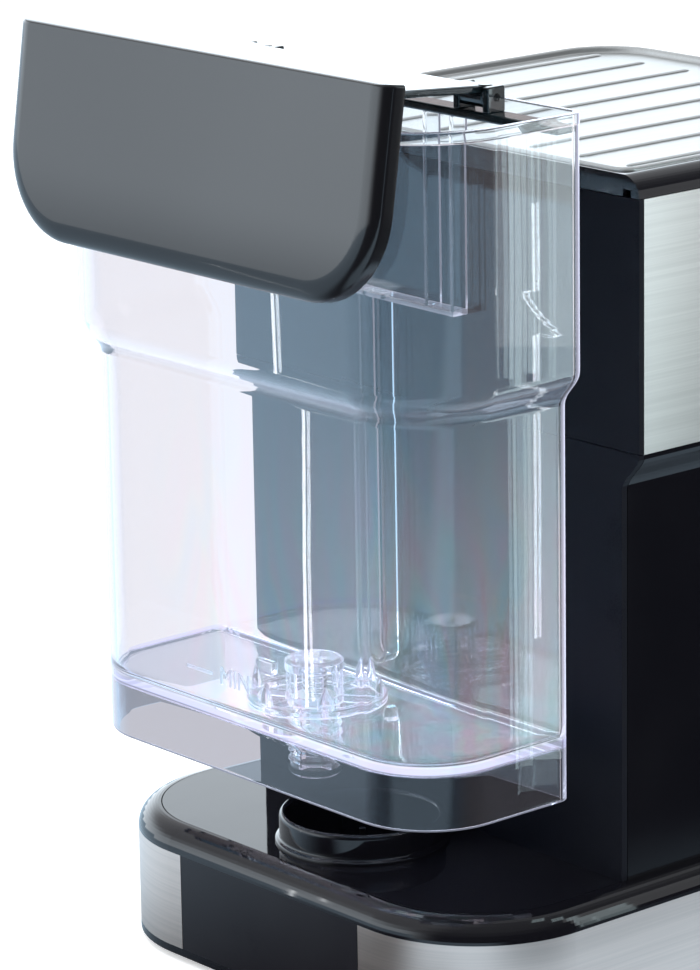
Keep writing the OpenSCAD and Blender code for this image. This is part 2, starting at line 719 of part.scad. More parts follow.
module tank_front() rotate([90, 0, 0]) translate([0, 0, -tank_wall]) linear_extrude(tank_wall)
    between_sides(tank_curve(0), tank_hw);

module tank() color([0.8, 0.87, 0.95, 0.35]) on_tank() difference() {
    union() {
        loop(tank_hw, 0, tank_depth, 0, tank_r, undef, 0) tank_profile();
        loop(tank_hw, 0, tank_depth, 0, tank_r, undef, 0) lip_profile();
        tank_front();
        slab(skirt_h - tank_wall, skirt_h)
            plan(tank_hw - tank_wall / 2, tank_wall / 2, tank_depth - tank_wall / 2, 0, tank_r - tank_wall / 2);
        rod_z([0, outlet_y, -spout_drop], skirt_h + spout_drop - 1, spout_r);
        for (i = [0:3]) rod_z([0, outlet_y, 1 + 3.4 * i], 1.2, spout_r + thread_t);
        tank_guides();
        tank_marks();
    }
    rod_z([0, outlet_y, -spout_drop - 1], skirt_h + spout_drop + 2, spout_bore);
    rotate([90, 0, 0]) translate([0, 0, -tank_wall - 1]) linear_extrude(tank_wall + 2) skirt_arch();
}

// Arch in the skirt's front wall that lets the tank slide back over the collar
module skirt_arch() {
    translate([-collar_r - 6, -1]) square([2 * collar_r + 12, collar_h + 1]);
    for (s = [-1, 1]) translate([s * (collar_r + 2), collar_h]) circle(4);
    translate([-collar_r - 2, collar_h - 1]) square([2 * collar_r + 4, 5]);
}

// Guides inside the front wall, under the hinge and down the middle
module tank_guides() {
    both_sides() for (x = [31, 44.5]) translate([x, tank_wall - eps, guide_z0])
        cube([2, 7, hinge_z - 8 - guide_z0]);
    both_sides() translate([0, tank_wall - eps, guide_z0]) cube([46.5, 7, 2]);
    for (x = [-6.5, 4.5]) translate([x, tank_wall - eps, skirt_h + 8]) cube([2, 7, guide_z0 - skirt_h - 8]);
    translate([0, tank_wall - eps, skirt_h + 8]) rotate([-90, 0, 0]) difference() {
        cylinder(h = 7, r = 6.5);
        translate([0, 0, -1]) cylinder(h = 9, r = 4.5);
        translate([-8, -8, -1]) cube([16, 8, 9]);
    }
}

// Raised low-level tick and the small bar and boss on the floor
module tank_marks() {
    translate([18, tank_depth - tank_wall - 0.6, skirt_h + 12]) cube([14, 0.7, 1.2]);
    translate([32, outlet_y - 10, skirt_h - eps]) cube([10, 3, 5]);
    rod_z([-34, outlet_y - 4, skirt_h - eps], 5, 3);
}

// Rubber ring round the spout
module tank_ring() color([0.12, 0.12, 0.12]) on_tank()
    tube_z([0, outlet_y, -spout_drop + 1.2], 1.8, spout_r + 0.7, spout_r);

module valve_cage() color([0.82, 0.88, 0.95, 0.4]) on_tank() translate([0, outlet_y, skirt_h]) {
    tube_z([0, 0, 0], 3, cage_r + 2, cage_r - 2);
    for (a = [0:60:300]) rotate([0, 0, a + 30]) {
        rod_z([cage_r, 0, 0], 11, 1.7);
        translate([8.5, -1, 0]) cube([cage_r - 9, 2, 3]);
    }
    difference() {
        rod_z([0, 0, 0], 16, 10.5);
        rod_z([0, 0, -1], 14.5, 9);
        rod_z([0, 0, 0], 20, poppet_stem_r + run_fit);
        for (a = [0, 60, 120]) rotate([0, 0, a]) box(30, -2, 2, 3, 12);
    }
}

module valve_poppet() color([0.9, 0.9, 0.9]) on_tank() translate([0, outlet_y, skirt_h]) {
    rod_z([0, 0, 0.1], 2, 7.5);
    rod_z([0, 0, -18], 18.1, poppet_stem_r);
    rod_z([0, 0, 2.1], 15, poppet_stem_r);
}

// Spring between the poppet and the top of the cage
module valve_spring() color([0.75, 0.75, 0.76]) on_tank() translate([0, outlet_y, skirt_h]) {
    wire = 0.45;
    for (i = [0:5]) translate([0, 0, spring_z0 + wire + i * (spring_z1 - spring_z0 - 2 * wire) / 5])
        rotate_extrude() translate([4, 0]) circle(wire, $fn = 16);
}

// ---- lid ----

// Bar across the tank's mouth that carries the hinge
module hinge_frame() color([0.12, 0.13, 0.15]) on_tank() difference() {
    union() {
        box(2 * tank_top_hw - 2 * tank_wall - 1, tank_wall + seam, tank_wall + 9, hinge_z - 8, hinge_z - 5);
        both_sides() translate([knuckle_x + knuckle_l + 0.3, 0, 0]) {
            rod_x([0, hinge_y, hinge_z], 3, hinge_r);
            translate([0, hinge_y - hinge_r, hinge_z - 5 - eps]) cube([3, 2 * hinge_r, 5]);
        }
        both_sides() translate([knuckle_x - 3.3, 0, 0]) {
            rod_x([0, hinge_y, hinge_z], 3, hinge_r);
            translate([0, hinge_y - hinge_r, hinge_z - 5 - eps]) cube([3, 2 * hinge_r, 5]);
        }
    }
    rod_x([-body_hw, hinge_y, hinge_z], body_w, lid_pin_r);
}

module hinge_pin() color([0.75, 0.75, 0.76]) on_tank() both_sides()
    rod_x([knuckle_x - 3.3, hinge_y, hinge_z], knuckle_l + 6.6, lid_pin_r);

module lid_plate() color([0.1, 0.11, 0.12]) on_lid() difference() {
    union() {
        box(lid_w, hinge_y + hinge_r + seam, panel_y1 - wall, plate_z, plate_z + plate_t);
        both_sides() {
            rod_x([knuckle_x, hinge_y, hinge_z], knuckle_l, hinge_r);
            translate([knuckle_x, hinge_y, plate_z]) cube([knuckle_l, hinge_r + 1, plate_t]);
        }
    }
    rod_x([-body_hw, hinge_y, hinge_z], body_w, lid_pin_r + run_fit);
}

// Outline of the back panel: square shoulders and round lower corners
module panel_outline(inset) {
    r = panel_r - inset;
    hw = panel_hw - inset;
    z0 = panel_z0 + inset;
    z1 = panel_z1 - inset;
    translate([-hw, z0 + r]) square([2 * hw, z1 - z0 - r]);
    translate([-hw + r, z0]) square([2 * (hw - r), r + eps]);
    for (s = [-1, 1]) translate([s * (hw - r), z0 + r]) circle(r);
}

module lid_panel() color([0.13, 0.14, 0.155]) on_lid() difference() {
    translate([0, panel_y1, 0]) rotate([90, 0, 0]) linear_extrude(panel_d) panel_outline(0);
    translate([0, panel_y1 - wall, 0]) rotate([90, 0, 0]) linear_extrude(panel_d) panel_outline(wall);
}

base_shell();
deck_plate();
rear_plinth();
trim_left();
trim_right();
base_plate();
feet();
base_screws();
cable_gland();
inlet_collar();
inlet_nozzle();
inlet_seal();
valve_pin();
tray_bay();
column_shell();
column_back();
head_shell();
head_back();
side_panel_left();
side_panel_right();
front_cover();
top_bezel();
top_plate();
pump_body();
pump_coil();
pump_mounts();
flow_meter();
suction_hose();
pressure_hose();
brew_hose();
thermoblock();
boiler_bracket();
thermostat();
control_board();
button_board();
brew_guide();
coffee_spout();
door_pin();
capsule_door();
door_handle();
capsule_cradle();
capsule_piercer();
brew_piston();
piston_seal();
power_button();
small_cup_button();
medium_cup_button();
large_cup_button();
drip_tray();
drip_grate();
tray_float();
tank();
tank_ring();
valve_cage();
valve_poppet();
valve_spring();
hinge_frame();
hinge_pin();
lid_plate();
lid_panel();
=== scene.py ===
"""Looks of a pod coffee machine with a lift-off water tank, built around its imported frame.

Sizes inside the classes are millimetres in the machine's own axes; meshes are handed on in metres.
"""

from __future__ import annotations

import json
import logging
import math
import sys
from collections.abc import Iterable, Sequence
from dataclasses import dataclass, field
from enum import Enum

import bmesh
import bpy
from mathutils import Matrix, Vector

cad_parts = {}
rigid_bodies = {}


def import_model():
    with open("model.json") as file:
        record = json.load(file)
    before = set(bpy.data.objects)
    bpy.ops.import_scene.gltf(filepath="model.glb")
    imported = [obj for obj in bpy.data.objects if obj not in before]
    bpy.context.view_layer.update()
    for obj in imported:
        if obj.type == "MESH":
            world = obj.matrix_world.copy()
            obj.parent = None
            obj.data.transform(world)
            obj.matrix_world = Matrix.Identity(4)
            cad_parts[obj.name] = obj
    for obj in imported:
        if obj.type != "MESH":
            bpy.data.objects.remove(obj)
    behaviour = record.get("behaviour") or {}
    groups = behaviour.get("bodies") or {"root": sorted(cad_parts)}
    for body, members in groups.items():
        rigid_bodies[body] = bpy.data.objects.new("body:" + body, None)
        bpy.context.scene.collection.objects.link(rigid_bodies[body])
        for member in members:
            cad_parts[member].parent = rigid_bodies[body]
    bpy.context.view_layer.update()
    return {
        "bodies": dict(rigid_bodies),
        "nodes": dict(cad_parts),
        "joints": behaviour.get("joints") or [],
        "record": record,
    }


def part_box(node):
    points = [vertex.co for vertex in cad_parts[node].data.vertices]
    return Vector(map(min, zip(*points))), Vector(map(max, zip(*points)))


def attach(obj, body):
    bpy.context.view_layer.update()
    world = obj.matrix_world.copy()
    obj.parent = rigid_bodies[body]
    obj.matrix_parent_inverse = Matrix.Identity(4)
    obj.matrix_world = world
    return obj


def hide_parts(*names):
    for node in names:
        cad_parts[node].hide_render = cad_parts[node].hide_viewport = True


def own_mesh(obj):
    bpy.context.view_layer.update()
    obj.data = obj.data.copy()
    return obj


LOG = logging.getLogger("coffee_machine")
MM = 0.001

Colour = tuple[float, float, float]
Flat = tuple[float, float]
Point = tuple[float, float, float]


class Grain(Enum):
    """Direction in which a metal is brushed, as the stretch of the pattern along X, Y and Z."""

    ALONG_X = (14.0, 1500.0, 1500.0)
    ALONG_Y = (1500.0, 14.0, 1500.0)
    LEVEL = (14.0, 14.0, 1500.0)
    TURNED = (900.0, 14.0, 900.0)


class Axis(Enum):
    """Axis that a turned shape stands on."""

    X = "x"
    Y = "y"
    Z = "z"


class Join(Enum):
    """How a tool shape acts on the shape it meets."""

    ADD = "UNION"
    CUT = "DIFFERENCE"


# ---------------------------------------------------------------- shader maths


class Value:
    """A number that varies over a surface and takes part in ordinary arithmetic."""

    def __init__(self, tree: ShaderTree, socket: bpy.types.NodeSocket) -> None:
        """Wraps a socket.

        Args:
            tree: Shader tree that the socket belongs to.
            socket: Output that carries the number.
        """
        self.tree = tree
        self.socket = socket

    def _maths(self, operation: str, first: Value | float, second: Value | float) -> Value:
        """Adds a Math node.

        Args:
            operation: The node's operation.
            first: First operand.
            second: Second operand.

        Returns:
            The node's result.
        """
        made = self.tree.node(
            "ShaderNodeMath", {"operation": operation}, {0: first, 1: second}
        )
        return Value(self.tree, made.outputs[0])

    def __add__(self, other: Value | float) -> Value:
        """Returns the sum."""
        return self._maths("ADD", self, other)

    def __radd__(self, other: float) -> Value:
        """Returns the sum with a plain number on the left."""
        return self._maths("ADD", other, self)

    def __sub__(self, other: Value | float) -> Value:
        """Returns the difference."""
        return self._maths("SUBTRACT", self, other)

    def __rsub__(self, other: float) -> Value:
        """Returns a plain number less this value."""
        return self._maths("SUBTRACT", other, self)

    def __mul__(self, other: Value | float) -> Value:
        """Returns the product."""
        return self._maths("MULTIPLY", self, other)

    def __rmul__(self, other: float) -> Value:
        """Returns the product with a plain number on the left."""
        return self._maths("MULTIPLY", other, self)

    def __pow__(self, other: float) -> Value:
        """Returns this value to a power."""
        return self._maths("POWER", self, other)

    def step(self, low: float, high: float) -> Value:
        """Maps the value smoothly on to 0 at low and 1 at high.

        Args:
            low: Value that gives 0.
            high: Value that gives 1.

        Returns:
            The mapped value.
        """
        made = self.tree.node(
            "ShaderNodeMapRange",
            {"interpolation_type": "SMOOTHSTEP"},
            {"Value": self, "From Min": low, "From Max": high},
        )
        return Value(self.tree, made.outputs[0])


class ShaderTree:
    """A material's or world's nodes, added one call at a time."""

    def __init__(self, tree: bpy.types.NodeTree) -> None:
        """Clears a tree.

        Args:
            tree: Node tree to fill.
        """
        self.tree = tree
        tree.nodes.clear()

    def node(
        self,
        kind: str,
        settings: dict[str, object] | None = None,
        inputs: dict[str | int, object] | None = None,
    ) -> bpy.types.Node:
        """Adds a node, sets it up and fills its sockets.

        Args:
            kind: Type of the node.
            settings: The node's own settings; a ramp's stops come as "stops".
            inputs: Values or links of its sockets, by name or number.

        Returns:
            The new node.
        """
        made = self.tree.nodes.new(kind)
        for name, value in (settings or {}).items():
            if name == "stops":
                self._set_stops(made.color_ramp, value)
            else:
                setattr(made, name, value)
        for name, value in (inputs or {}).items():
            socket = made.inputs[name]
            if isinstance(value, Value):
                self.tree.links.new(value.socket, socket)
            elif isinstance(value, bpy.types.NodeSocket):
                self.tree.links.new(value, socket)
            elif isinstance(value, tuple) and socket.type == "RGBA":
                socket.default_value = (*value, 1.0)
            else:
                socket.default_value = value
        return made

    @staticmethod
    def _set_stops(ramp: bpy.types.ColorRamp, stops: Sequence[tuple[float, Colour]]) -> None:
        """Gives a colour ramp its stops.

        Args:
            ramp: Ramp to change.
            stops: Place and colour of each stop, in order.
        """
        while len(ramp.elements) < len(stops):
            ramp.elements.new(1.0)
        for element, (place, colour) in zip(ramp.elements, stops):
            element.position = place
            element.color = (*colour, 1.0)

    def place(
        self, stretch: Point = (1.0, 1.0, 1.0), shift: Point = (0.0, 0.0, 0.0)
    ) -> bpy.types.NodeSocket:
        """Gives the object's own coordinates, stretched.

        Args:
            stretch: Factor along each axis.
            shift: What is added after stretching.

        Returns:
            The vector socket.
        """
        spot = self.node("ShaderNodeTexCoord").outputs["Object"]
        inputs = {"Vector": spot, "Location": shift, "Scale": stretch}
        return self.node("ShaderNodeMapping", {"vector_type": "POINT"}, inputs).outputs[0]

    def noise(
        self,
        scale: float,
        stretch: Point = (1.0, 1.0, 1.0),
        detail: float = 2.0,
        warp: float = 0.0,
        shift: Point = (0.0, 0.0, 0.0),
    ) -> Value:
        """Adds cloudy noise.

        Args:
            scale: Cells in a metre, before stretching.
            stretch: Factor along each axis.
            detail: How many finer layers it has.
            warp: How much it is swirled.
            shift: Where the pattern starts.

        Returns:
            Noise between 0 and 1.
        """
        made = self.node(
            "ShaderNodeTexNoise",
            {"noise_dimensions": "3D"},
            {"Vector": self.place(stretch, shift), "Scale": scale, "Detail": detail, "Distortion": warp},
        )
        return Value(self, made.outputs[0])

    def axis(self, name: str) -> Value:
        """Gives one of the object's own coordinates, in metres.

        Args:
            name: X, Y or Z.

        Returns:
            The coordinate.
        """
        parts = self.node("ShaderNodeSeparateXYZ", {}, {0: self.place()})
        return Value(self, parts.outputs[name])

    def facing(self, blend: float = 0.5) -> Value:
        """Gives 0 where a surface faces the eye and 1 where it turns away.

        Args:
            blend: The node's blend.

        Returns:
            The mask.
        """
        made = self.node("ShaderNodeLayerWeight", {}, {"Blend": blend})
        return Value(self, made.outputs["Facing"])

    def mix(self, share: Value | float, first: object, second: object) -> bpy.types.NodeSocket:
        """Mixes two colours.

        Args:
            share: How much of the second colour.
            first: Colour at 0.
            second: Colour at 1.

        Returns:
            The mixed colour's socket.
        """
        made = self.node("ShaderNodeMix", {"data_type": "RGBA"}, {0: share, 6: first, 7: second})
        return made.outputs[2]

    def ramp(self, share: Value, stops: Sequence[tuple[float, Colour]]) -> bpy.types.NodeSocket:
        """Turns a value into a colour.

        Args:
            share: Value between 0 and 1.
            stops: Place and colour of each stop.

        Returns:
            The colour's socket.
        """
        return self.node("ShaderNodeValToRGB", {"stops": stops}, {0: share}).outputs[0]

    def bump(self, height: Value, depth: float, strength: float = 1.0) -> bpy.types.NodeSocket:
        """Turns a height into a normal.

        Args:
            height: Height between 0 and 1.
            depth: Real height of 1, in metres.
            strength: Share of the effect.

        Returns:
            The normal's socket.
        """
        made = self.node(
            "ShaderNodeBump", {}, {"Strength": strength, "Distance": depth, "Height": height}
        )
        return made.outputs[0]

    def principled(self, inputs: dict[str, object]) -> bpy.types.NodeSocket:
        """Adds the general surface shader.

        Args:
            inputs: Values or links of its sockets, by name.

        Returns:
            The shader's output.
        """
        return self.node("ShaderNodeBsdfPrincipled", {}, inputs).outputs[0]

    def either(self, share: object, first: object, second: object) -> bpy.types.NodeSocket:
        """Mixes two shaders.

        Args:
            share: How much of the second shader.
            first: Shader at 0.
            second: Shader at 1.

        Returns:
            The mixed shader's output.
        """
        return self.node("ShaderNodeMixShader", {}, {0: share, 1: first, 2: second}).outputs[0]

    def surface(self, shader: bpy.types.NodeSocket) -> None:
        """Makes a shader the material's surface.

        Args:
            shader: The shader's output.
        """
        self.node("ShaderNodeOutputMaterial", {}, {"Surface": shader})


# ---------------------------------------------------------------- finishes


@dataclass(frozen=True)
class Finish:
    """A finish that can be put on a piece."""

    name: str

    def material(self) -> bpy.types.Material:
        """Returns the finish's material, made once."""
        made = bpy.data.materials.get(f"{self.name}_finish")
        if made is None:
            made = bpy.data.materials.new(f"{self.name}_finish")
            made.use_nodes = True
            tree = ShaderTree(made.node_tree)
            tree.surface(self.shade(tree))
        return made

    def shade(self, tree: ShaderTree) -> bpy.types.NodeSocket:
        """Builds the shader.

        Args:
            tree: Tree to build in.

        Returns:
            The shader's output.
        """
        raise NotImplementedError


@dataclass(frozen=True)
class Gloss(Finish):
    """Polished moulded plastic with a faintly blurred shine and dust."""

    colour: Colour
    rough: float = 0.06
    specular: float = 0.5
    # A faint blur of the shine here; in Clear the field of this name sets an even painted glow.
    haze_and_painted_glow: float = 0.05
    wave: float = 0.00002

    def shade(self, tree: ShaderTree) -> bpy.types.NodeSocket:
        """Builds the shader.

        Args:
            tree: Tree to build in.

        Returns:
            The shader's output.
        """
        cloud = tree.noise(22.0, detail=4.0)
        speck = tree.noise(2600.0, detail=1.0).step(0.68, 0.76)
        lighter = tuple(min(1.0, part * 1.35 + 0.004) for part in self.colour)
        return tree.principled(
            {
                "Base Color": tree.mix(cloud * 0.6 + speck * 0.3, self.colour, lighter),
                "Roughness": self.rough + self.haze_and_painted_glow * cloud.step(0.45, 0.75) + speck * 0.08,
                "Specular IOR Level": self.specular,
                "Normal": tree.bump(tree.noise(60.0, detail=1.0), self.wave),
            }
        )


@dataclass(frozen=True)
class Lacquer(Gloss):
    """Polished plastic under a clear lacquer, with a painted sheen: the lacquer is weighted up towards the
    top edge and the -X side, so those parts mirror more.
    """

    low: float = 0.262
    high: float = 0.30
    side: float = 0.1

    def shade(self, tree: ShaderTree) -> bpy.types.NodeSocket:
        """Builds the shader.

        Args:
            tree: Tree to build in.

        Returns:
            The shader's output.
        """
        cloud = tree.noise(9.0, (1.0, 1.0, 0.6), detail=2.0)
        speck = tree.noise(2600.0, detail=1.0).step(0.68, 0.76)
        # Painted sheen: more lacquer, and so more reflection, towards the top and most at the top of the -X
        # side; the cloud adds random unevenness.
        rise = tree.axis("Z").step(self.low, self.high)
        across = 1 - tree.axis("X").step(-self.side, self.side)
        coat_with_painted_sheen = 0.22 + rise * 0.34 + across * rise * 0.24 + (cloud - 0.5) * 0.08
        lighter = tuple(part * 1.4 + 0.003 for part in self.colour)
        return tree.principled(
            {
                "Base Color": tree.mix(cloud * 0.6 + speck * 0.3, self.colour, lighter),
                "Roughness": 0.3 + self.haze_and_painted_glow * cloud,
                "Specular IOR Level": self.specular,
                "Coat Weight": coat_with_painted_sheen,
                "Coat Roughness": self.rough,
                "Coat IOR": 1.52,
                "Normal": tree.bump(tree.noise(60.0, detail=1.0), self.wave),
            }
        )


@dataclass(frozen=True)
class Satin(Finish):
    """Moulded plastic or rubber with a fine spark-eroded grain."""

    colour: Colour
    rough: float = 0.42
    specular: float = 0.4
    grain: float = 3200.0
    depth: float = 0.00003

    def shade(self, tree: ShaderTree) -> bpy.types.NodeSocket:
        """Builds the shader.

        Args:
            tree: Tree to build in.

        Returns:
            The shader's output.
        """
        cloud = tree.noise(30.0, detail=3.0)
        grain = tree.noise(self.grain, detail=2.0)
        lighter = tuple(min(1.0, part * 1.3 + 0.006) for part in self.colour)
        return tree.principled(
            {
                "Base Color": tree.mix(cloud * 0.6 + grain * 0.3, self.colour, lighter),
                "Roughness": self.rough + 0.12 * (cloud - 0.5) + 0.08 * (grain - 0.5),
                "Specular IOR Level": self.specular,
                "Normal": tree.bump(grain, self.depth, 0.6),
            }
        )


@dataclass(frozen=True)
class Brushed(Finish):
    """Brushed stainless steel."""

    colour: Colour = (0.66, 0.645, 0.62)
    grain: Grain = Grain.LEVEL
    rough: float = 0.34
    depth: float = 0.000012

    def shade(self, tree: ShaderTree) -> bpy.types.NodeSocket:
        """Builds the shader.

        Args:
            tree: Tree to build in.

        Returns:
            The shader's output.
        """
        fine = tree.noise(1.0, self.grain.value, detail=3.0)
        wide = tree.noise(0.28, self.grain.value, detail=2.0, shift=(3.0, 5.0, 7.0))
        cloud = tree.noise(9.0, detail=2.0)
        line = fine * 0.6 + wide * 0.4
        darker = tuple(part * 0.93 for part in self.colour)
        lighter = tuple(min(1.0, part * 1.05) for part in self.colour)
        return tree.principled(
            {
                "Base Color": tree.mix(line.step(0.32, 0.68), darker, lighter),
                "Metallic": 1.0,
                "Roughness": self.rough + 0.08 * (line - 0.5) + 0.04 * (cloud - 0.5),
                "Normal": tree.bump(line, self.depth, 0.5),
            }
        )


@dataclass(frozen=True)
class Metal(Finish):
    """Bare metal: turned, stamped or cast."""

    colour: Colour
    rough: float = 0.2
    cast: float = 0.0

    def shade(self, tree: ShaderTree) -> bpy.types.NodeSocket:
        """Builds the shader.

        Args:
            tree: Tree to build in.

        Returns:
            The shader's output.
        """
        cloud = tree.noise(140.0, detail=4.0)
        pit = tree.noise(1500.0, detail=2.0)
        darker = tuple(part * 0.75 for part in self.colour)
        return tree.principled(
            {
                "Base Color": tree.mix(cloud.step(0.3, 0.75), self.colour, darker),
                "Metallic": 1.0,
                "Roughness": self.rough + 0.15 * cloud.step(0.4, 0.8) + self.cast * 0.2 * pit,
                "Normal": tree.bump(pit, 0.00002 + self.cast * 0.0001, 0.5),
            }
        )


@dataclass(frozen=True)
class Striped(Finish):
    """A wound coil, a ribbed hose or a printed board: two tones in fine bands."""

    first: Colour
    second: Colour
    pitch: float
    direction: str = "X"
    rough: float = 0.35

    def shade(self, tree: ShaderTree) -> bpy.types.NodeSocket:
        """Builds the shader.

        Args:
            tree: Tree to build in.

        Returns:
            The shader's output.
        """
        band = tree.node(
            "ShaderNodeTexWave",
            {"wave_type": "BANDS", "bands_direction": self.direction},
            {"Vector": tree.place(), "Scale": 0.314 / (self.pitch * MM), "Distortion": 0.4},
        )
        wave = Value(tree, band.outputs[1])
        cloud = tree.noise(300.0, detail=2.0)
        return tree.principled(
            {
                "Base Color": tree.mix(wave * 0.7 + cloud * 0.3, self.first, self.second),
                "Roughness": self.rough + 0.15 * cloud,
                "Normal": tree.bump(wave, 0.0001, 0.4),
            }
        )


@dataclass(frozen=True)
class Clear(Finish):
    """Clear moulded plastic that turns violet where the eye looks along it, and glows lilac at glancing
    angles and evenly all over: a painted highlight, since it is no lamp.

    Faint bands of many hues, painted caustic light in its colour and its glow, show only low down and towards
    one side.
    """

    tint: Colour
    edge: Colour
    rough: float = 0.003
    painted_caustic_rainbow: float = 0.0
    glow: float = 0.3
    glow_tint: Colour = (0.78, 0.80, 1.0)
    # Even painted glow over the whole surface, though the plastic is no lamp.
    haze_and_painted_glow: float = 0.0
    shade_tint: Colour = (0.86, 0.88, 0.92)
    band_top: Flat = (0.13, 0.25)
    band_side: Flat = (0.0, 0.06)
    hues: tuple[Colour, ...] = (
        (0.50, 0.95, 0.90),
        (0.82, 0.84, 0.96),
        (0.98, 0.62, 0.74),
        (0.80, 0.92, 0.80),
        (0.45, 0.84, 0.97),
        (0.84, 0.66, 0.97),
    )

    def shade(self, tree: ShaderTree) -> bpy.types.NodeSocket:
        """Builds the shader.

        Args:
            tree: Tree to build in.

        Returns:
            The shader's output.
        """
        rim = tree.facing(0.4) ** 3.0
        colour = tree.mix(rim, self.tint, self.edge)
        # Painted highlight: lilac emission at glancing angles, plus the even painted glow, though the plastic
        # is no lamp.
        light = tree.mix((rim * 1.6) + self.haze_and_painted_glow, (0.0, 0.0, 0.0), self.glow_tint)
        # Painted caustic light: bands of many hues in the colour and in the glow, only low down and towards
        # the -X side.
        if self.painted_caustic_rainbow:
            swirl = tree.noise(34.0, (1.0, 1.0, 0.22), detail=2.0, warp=1.2)
            stops = [(i / (len(self.hues) - 1), colour_stop) for i, colour_stop in enumerate(self.hues)]
            hue = tree.ramp(swirl.step(0.3, 0.7), stops)
            low = (1 - tree.axis("Z").step(*self.band_top)) * (1 - tree.axis("X").step(*self.band_side))
            colour = tree.mix(low * self.painted_caustic_rainbow, colour, hue)
            light = tree.mix(low * (self.painted_caustic_rainbow * 0.6), light, hue)
        plastic = tree.principled(
            {
                "Base Color": colour,
                "Roughness": self.rough + 0.006 * tree.noise(35.0, detail=3.0),
                "IOR": 1.46,
                "Transmission Weight": 1.0,
                "Emission Color": light,
                "Emission Strength": self.glow,
                "Normal": tree.bump(tree.noise(30.0, (1.0, 1.0, 0.3), detail=1.0), 0.00003, 0.5),
            }
        )
        lamp = tree.node("ShaderNodeLightPath").outputs["Is Shadow Ray"]
        passing = tree.node("ShaderNodeBsdfTransparent", {}, {"Color": self.shade_tint})
        return tree.either(lamp, plastic, passing.outputs[0])


GLOSS_BLACK = Gloss("gloss_black", (0.0035, 0.0033, 0.005), rough=0.04, specular=0.42, haze_and_painted_glow=0.03)
COLUMN_BLACK = Gloss("column_black", (0.0025, 0.0025, 0.004), rough=0.1, specular=0.14)
CHARCOAL = Satin("charcoal", (0.004, 0.0045, 0.0075), rough=0.3, specular=0.045)
PLINTH = Satin("plinth_black", (0.006, 0.0055, 0.008), rough=0.3, specular=0.25)
MATTE_BLACK = Satin("matte_black", (0.016, 0.016, 0.017), rough=0.5)
DEEP_BLACK = Satin("groove_black", (0.004, 0.004, 0.004), rough=0.6, specular=0.2)
SIDE_STEEL = Brushed("side_steel", (0.66, 0.645, 0.625), Grain.ALONG_Y, 0.36)
TRIM_STEEL = Brushed("trim_steel", (0.66, 0.54, 0.48), Grain.LEVEL, 0.34)
# Painted shade: a darker copy of the brushed steel, to hold back the stronger light on the top.
TOP_STEEL_WITH_PAINTED_SHADE = Brushed("top_steel_with_painted_shade", (0.55, 0.56, 0.555), Grain.ALONG_Y, 0.4, 0.000006)
GRATE_STEEL = Brushed("grate_steel", (0.66, 0.65, 0.64), Grain.ALONG_Y, 0.28)
HANDLE_STEEL = Brushed("handle_steel", (0.68, 0.67, 0.65), Grain.ALONG_X, 0.24)
BUTTON_STEEL = Brushed("button_steel", (0.68, 0.67, 0.65), Grain.TURNED, 0.28)
BRIGHT_STEEL = Metal("bright_steel", (0.7, 0.7, 0.71), 0.14)
ALUMINIUM = Metal("aluminium", (0.62, 0.62, 0.64), 0.38, 1.0)
RUBBER = Satin("black_rubber", (0.014, 0.014, 0.014), rough=0.62, specular=0.3, grain=1800.0)
RED_RUBBER = Satin("red_rubber", (0.35, 0.035, 0.025), rough=0.5)
WHITE_PLASTIC = Satin("white_plastic", (0.72, 0.71, 0.68), rough=0.36, depth=0.00001)
RED_PLASTIC = Gloss("red_plastic", (0.55, 0.02, 0.015), rough=0.14)
PRINT_WHITE = Satin("print_white", (0.78, 0.78, 0.76), rough=0.5, depth=0.00001)
COIL = Striped("coil", (0.03, 0.03, 0.033), (0.09, 0.085, 0.08), 1.0)
BOARD = Striped("board", (0.015, 0.16, 0.05), (0.03, 0.22, 0.08), 2.4, "X", 0.3)
HOSE = Striped("hose", (0.62, 0.63, 0.62), (0.74, 0.75, 0.74), 3.0, "Y", 0.3)
LID_GREY = Lacquer("lid_grey", (0.004, 0.004, 0.0055), rough=0.08, specular=0.12, haze_and_painted_glow=0.03)
SMOKED = Gloss("smoked", (0.006, 0.011, 0.013), rough=0.04, specular=0.6, haze_and_painted_glow=0.02)
TANK_WALL = Clear("clear_tank", (0.965, 0.985, 1.0), (0.86, 0.87, 1.0), painted_caustic_rainbow=0.2)
TANK_FLOOR = Clear("tank_floor", (0.80, 0.82, 0.88), (0.62, 0.62, 0.90), painted_caustic_rainbow=0.35)
# Painted highlight: violet tint for the floor seen edge-on, and a strong painted glow for light carried along
# its edge.
TANK_PAINTED_GLOW_BAND = Clear("tank_painted_glow_band", (0.66, 0.66, 0.95), (0.55, 0.55, 1.0), haze_and_painted_glow=0.35)
TANK_SKIRT = Clear(
    "tank_skirt", (0.52, 0.54, 0.58), (0.45, 0.47, 0.58), haze_and_painted_glow=0.015, shade_tint=(0.66, 0.66, 0.68)
)
CAGE_CLEAR = Clear("cage_clear", (0.93, 0.94, 1.0), (0.75, 0.76, 1.0), rough=0.03, haze_and_painted_glow=0.12)
MARK_FROST = Clear("mark_frost", (0.86, 0.87, 0.93), (0.7, 0.7, 0.9), rough=0.35)


# ---------------------------------------------------------------- shapes


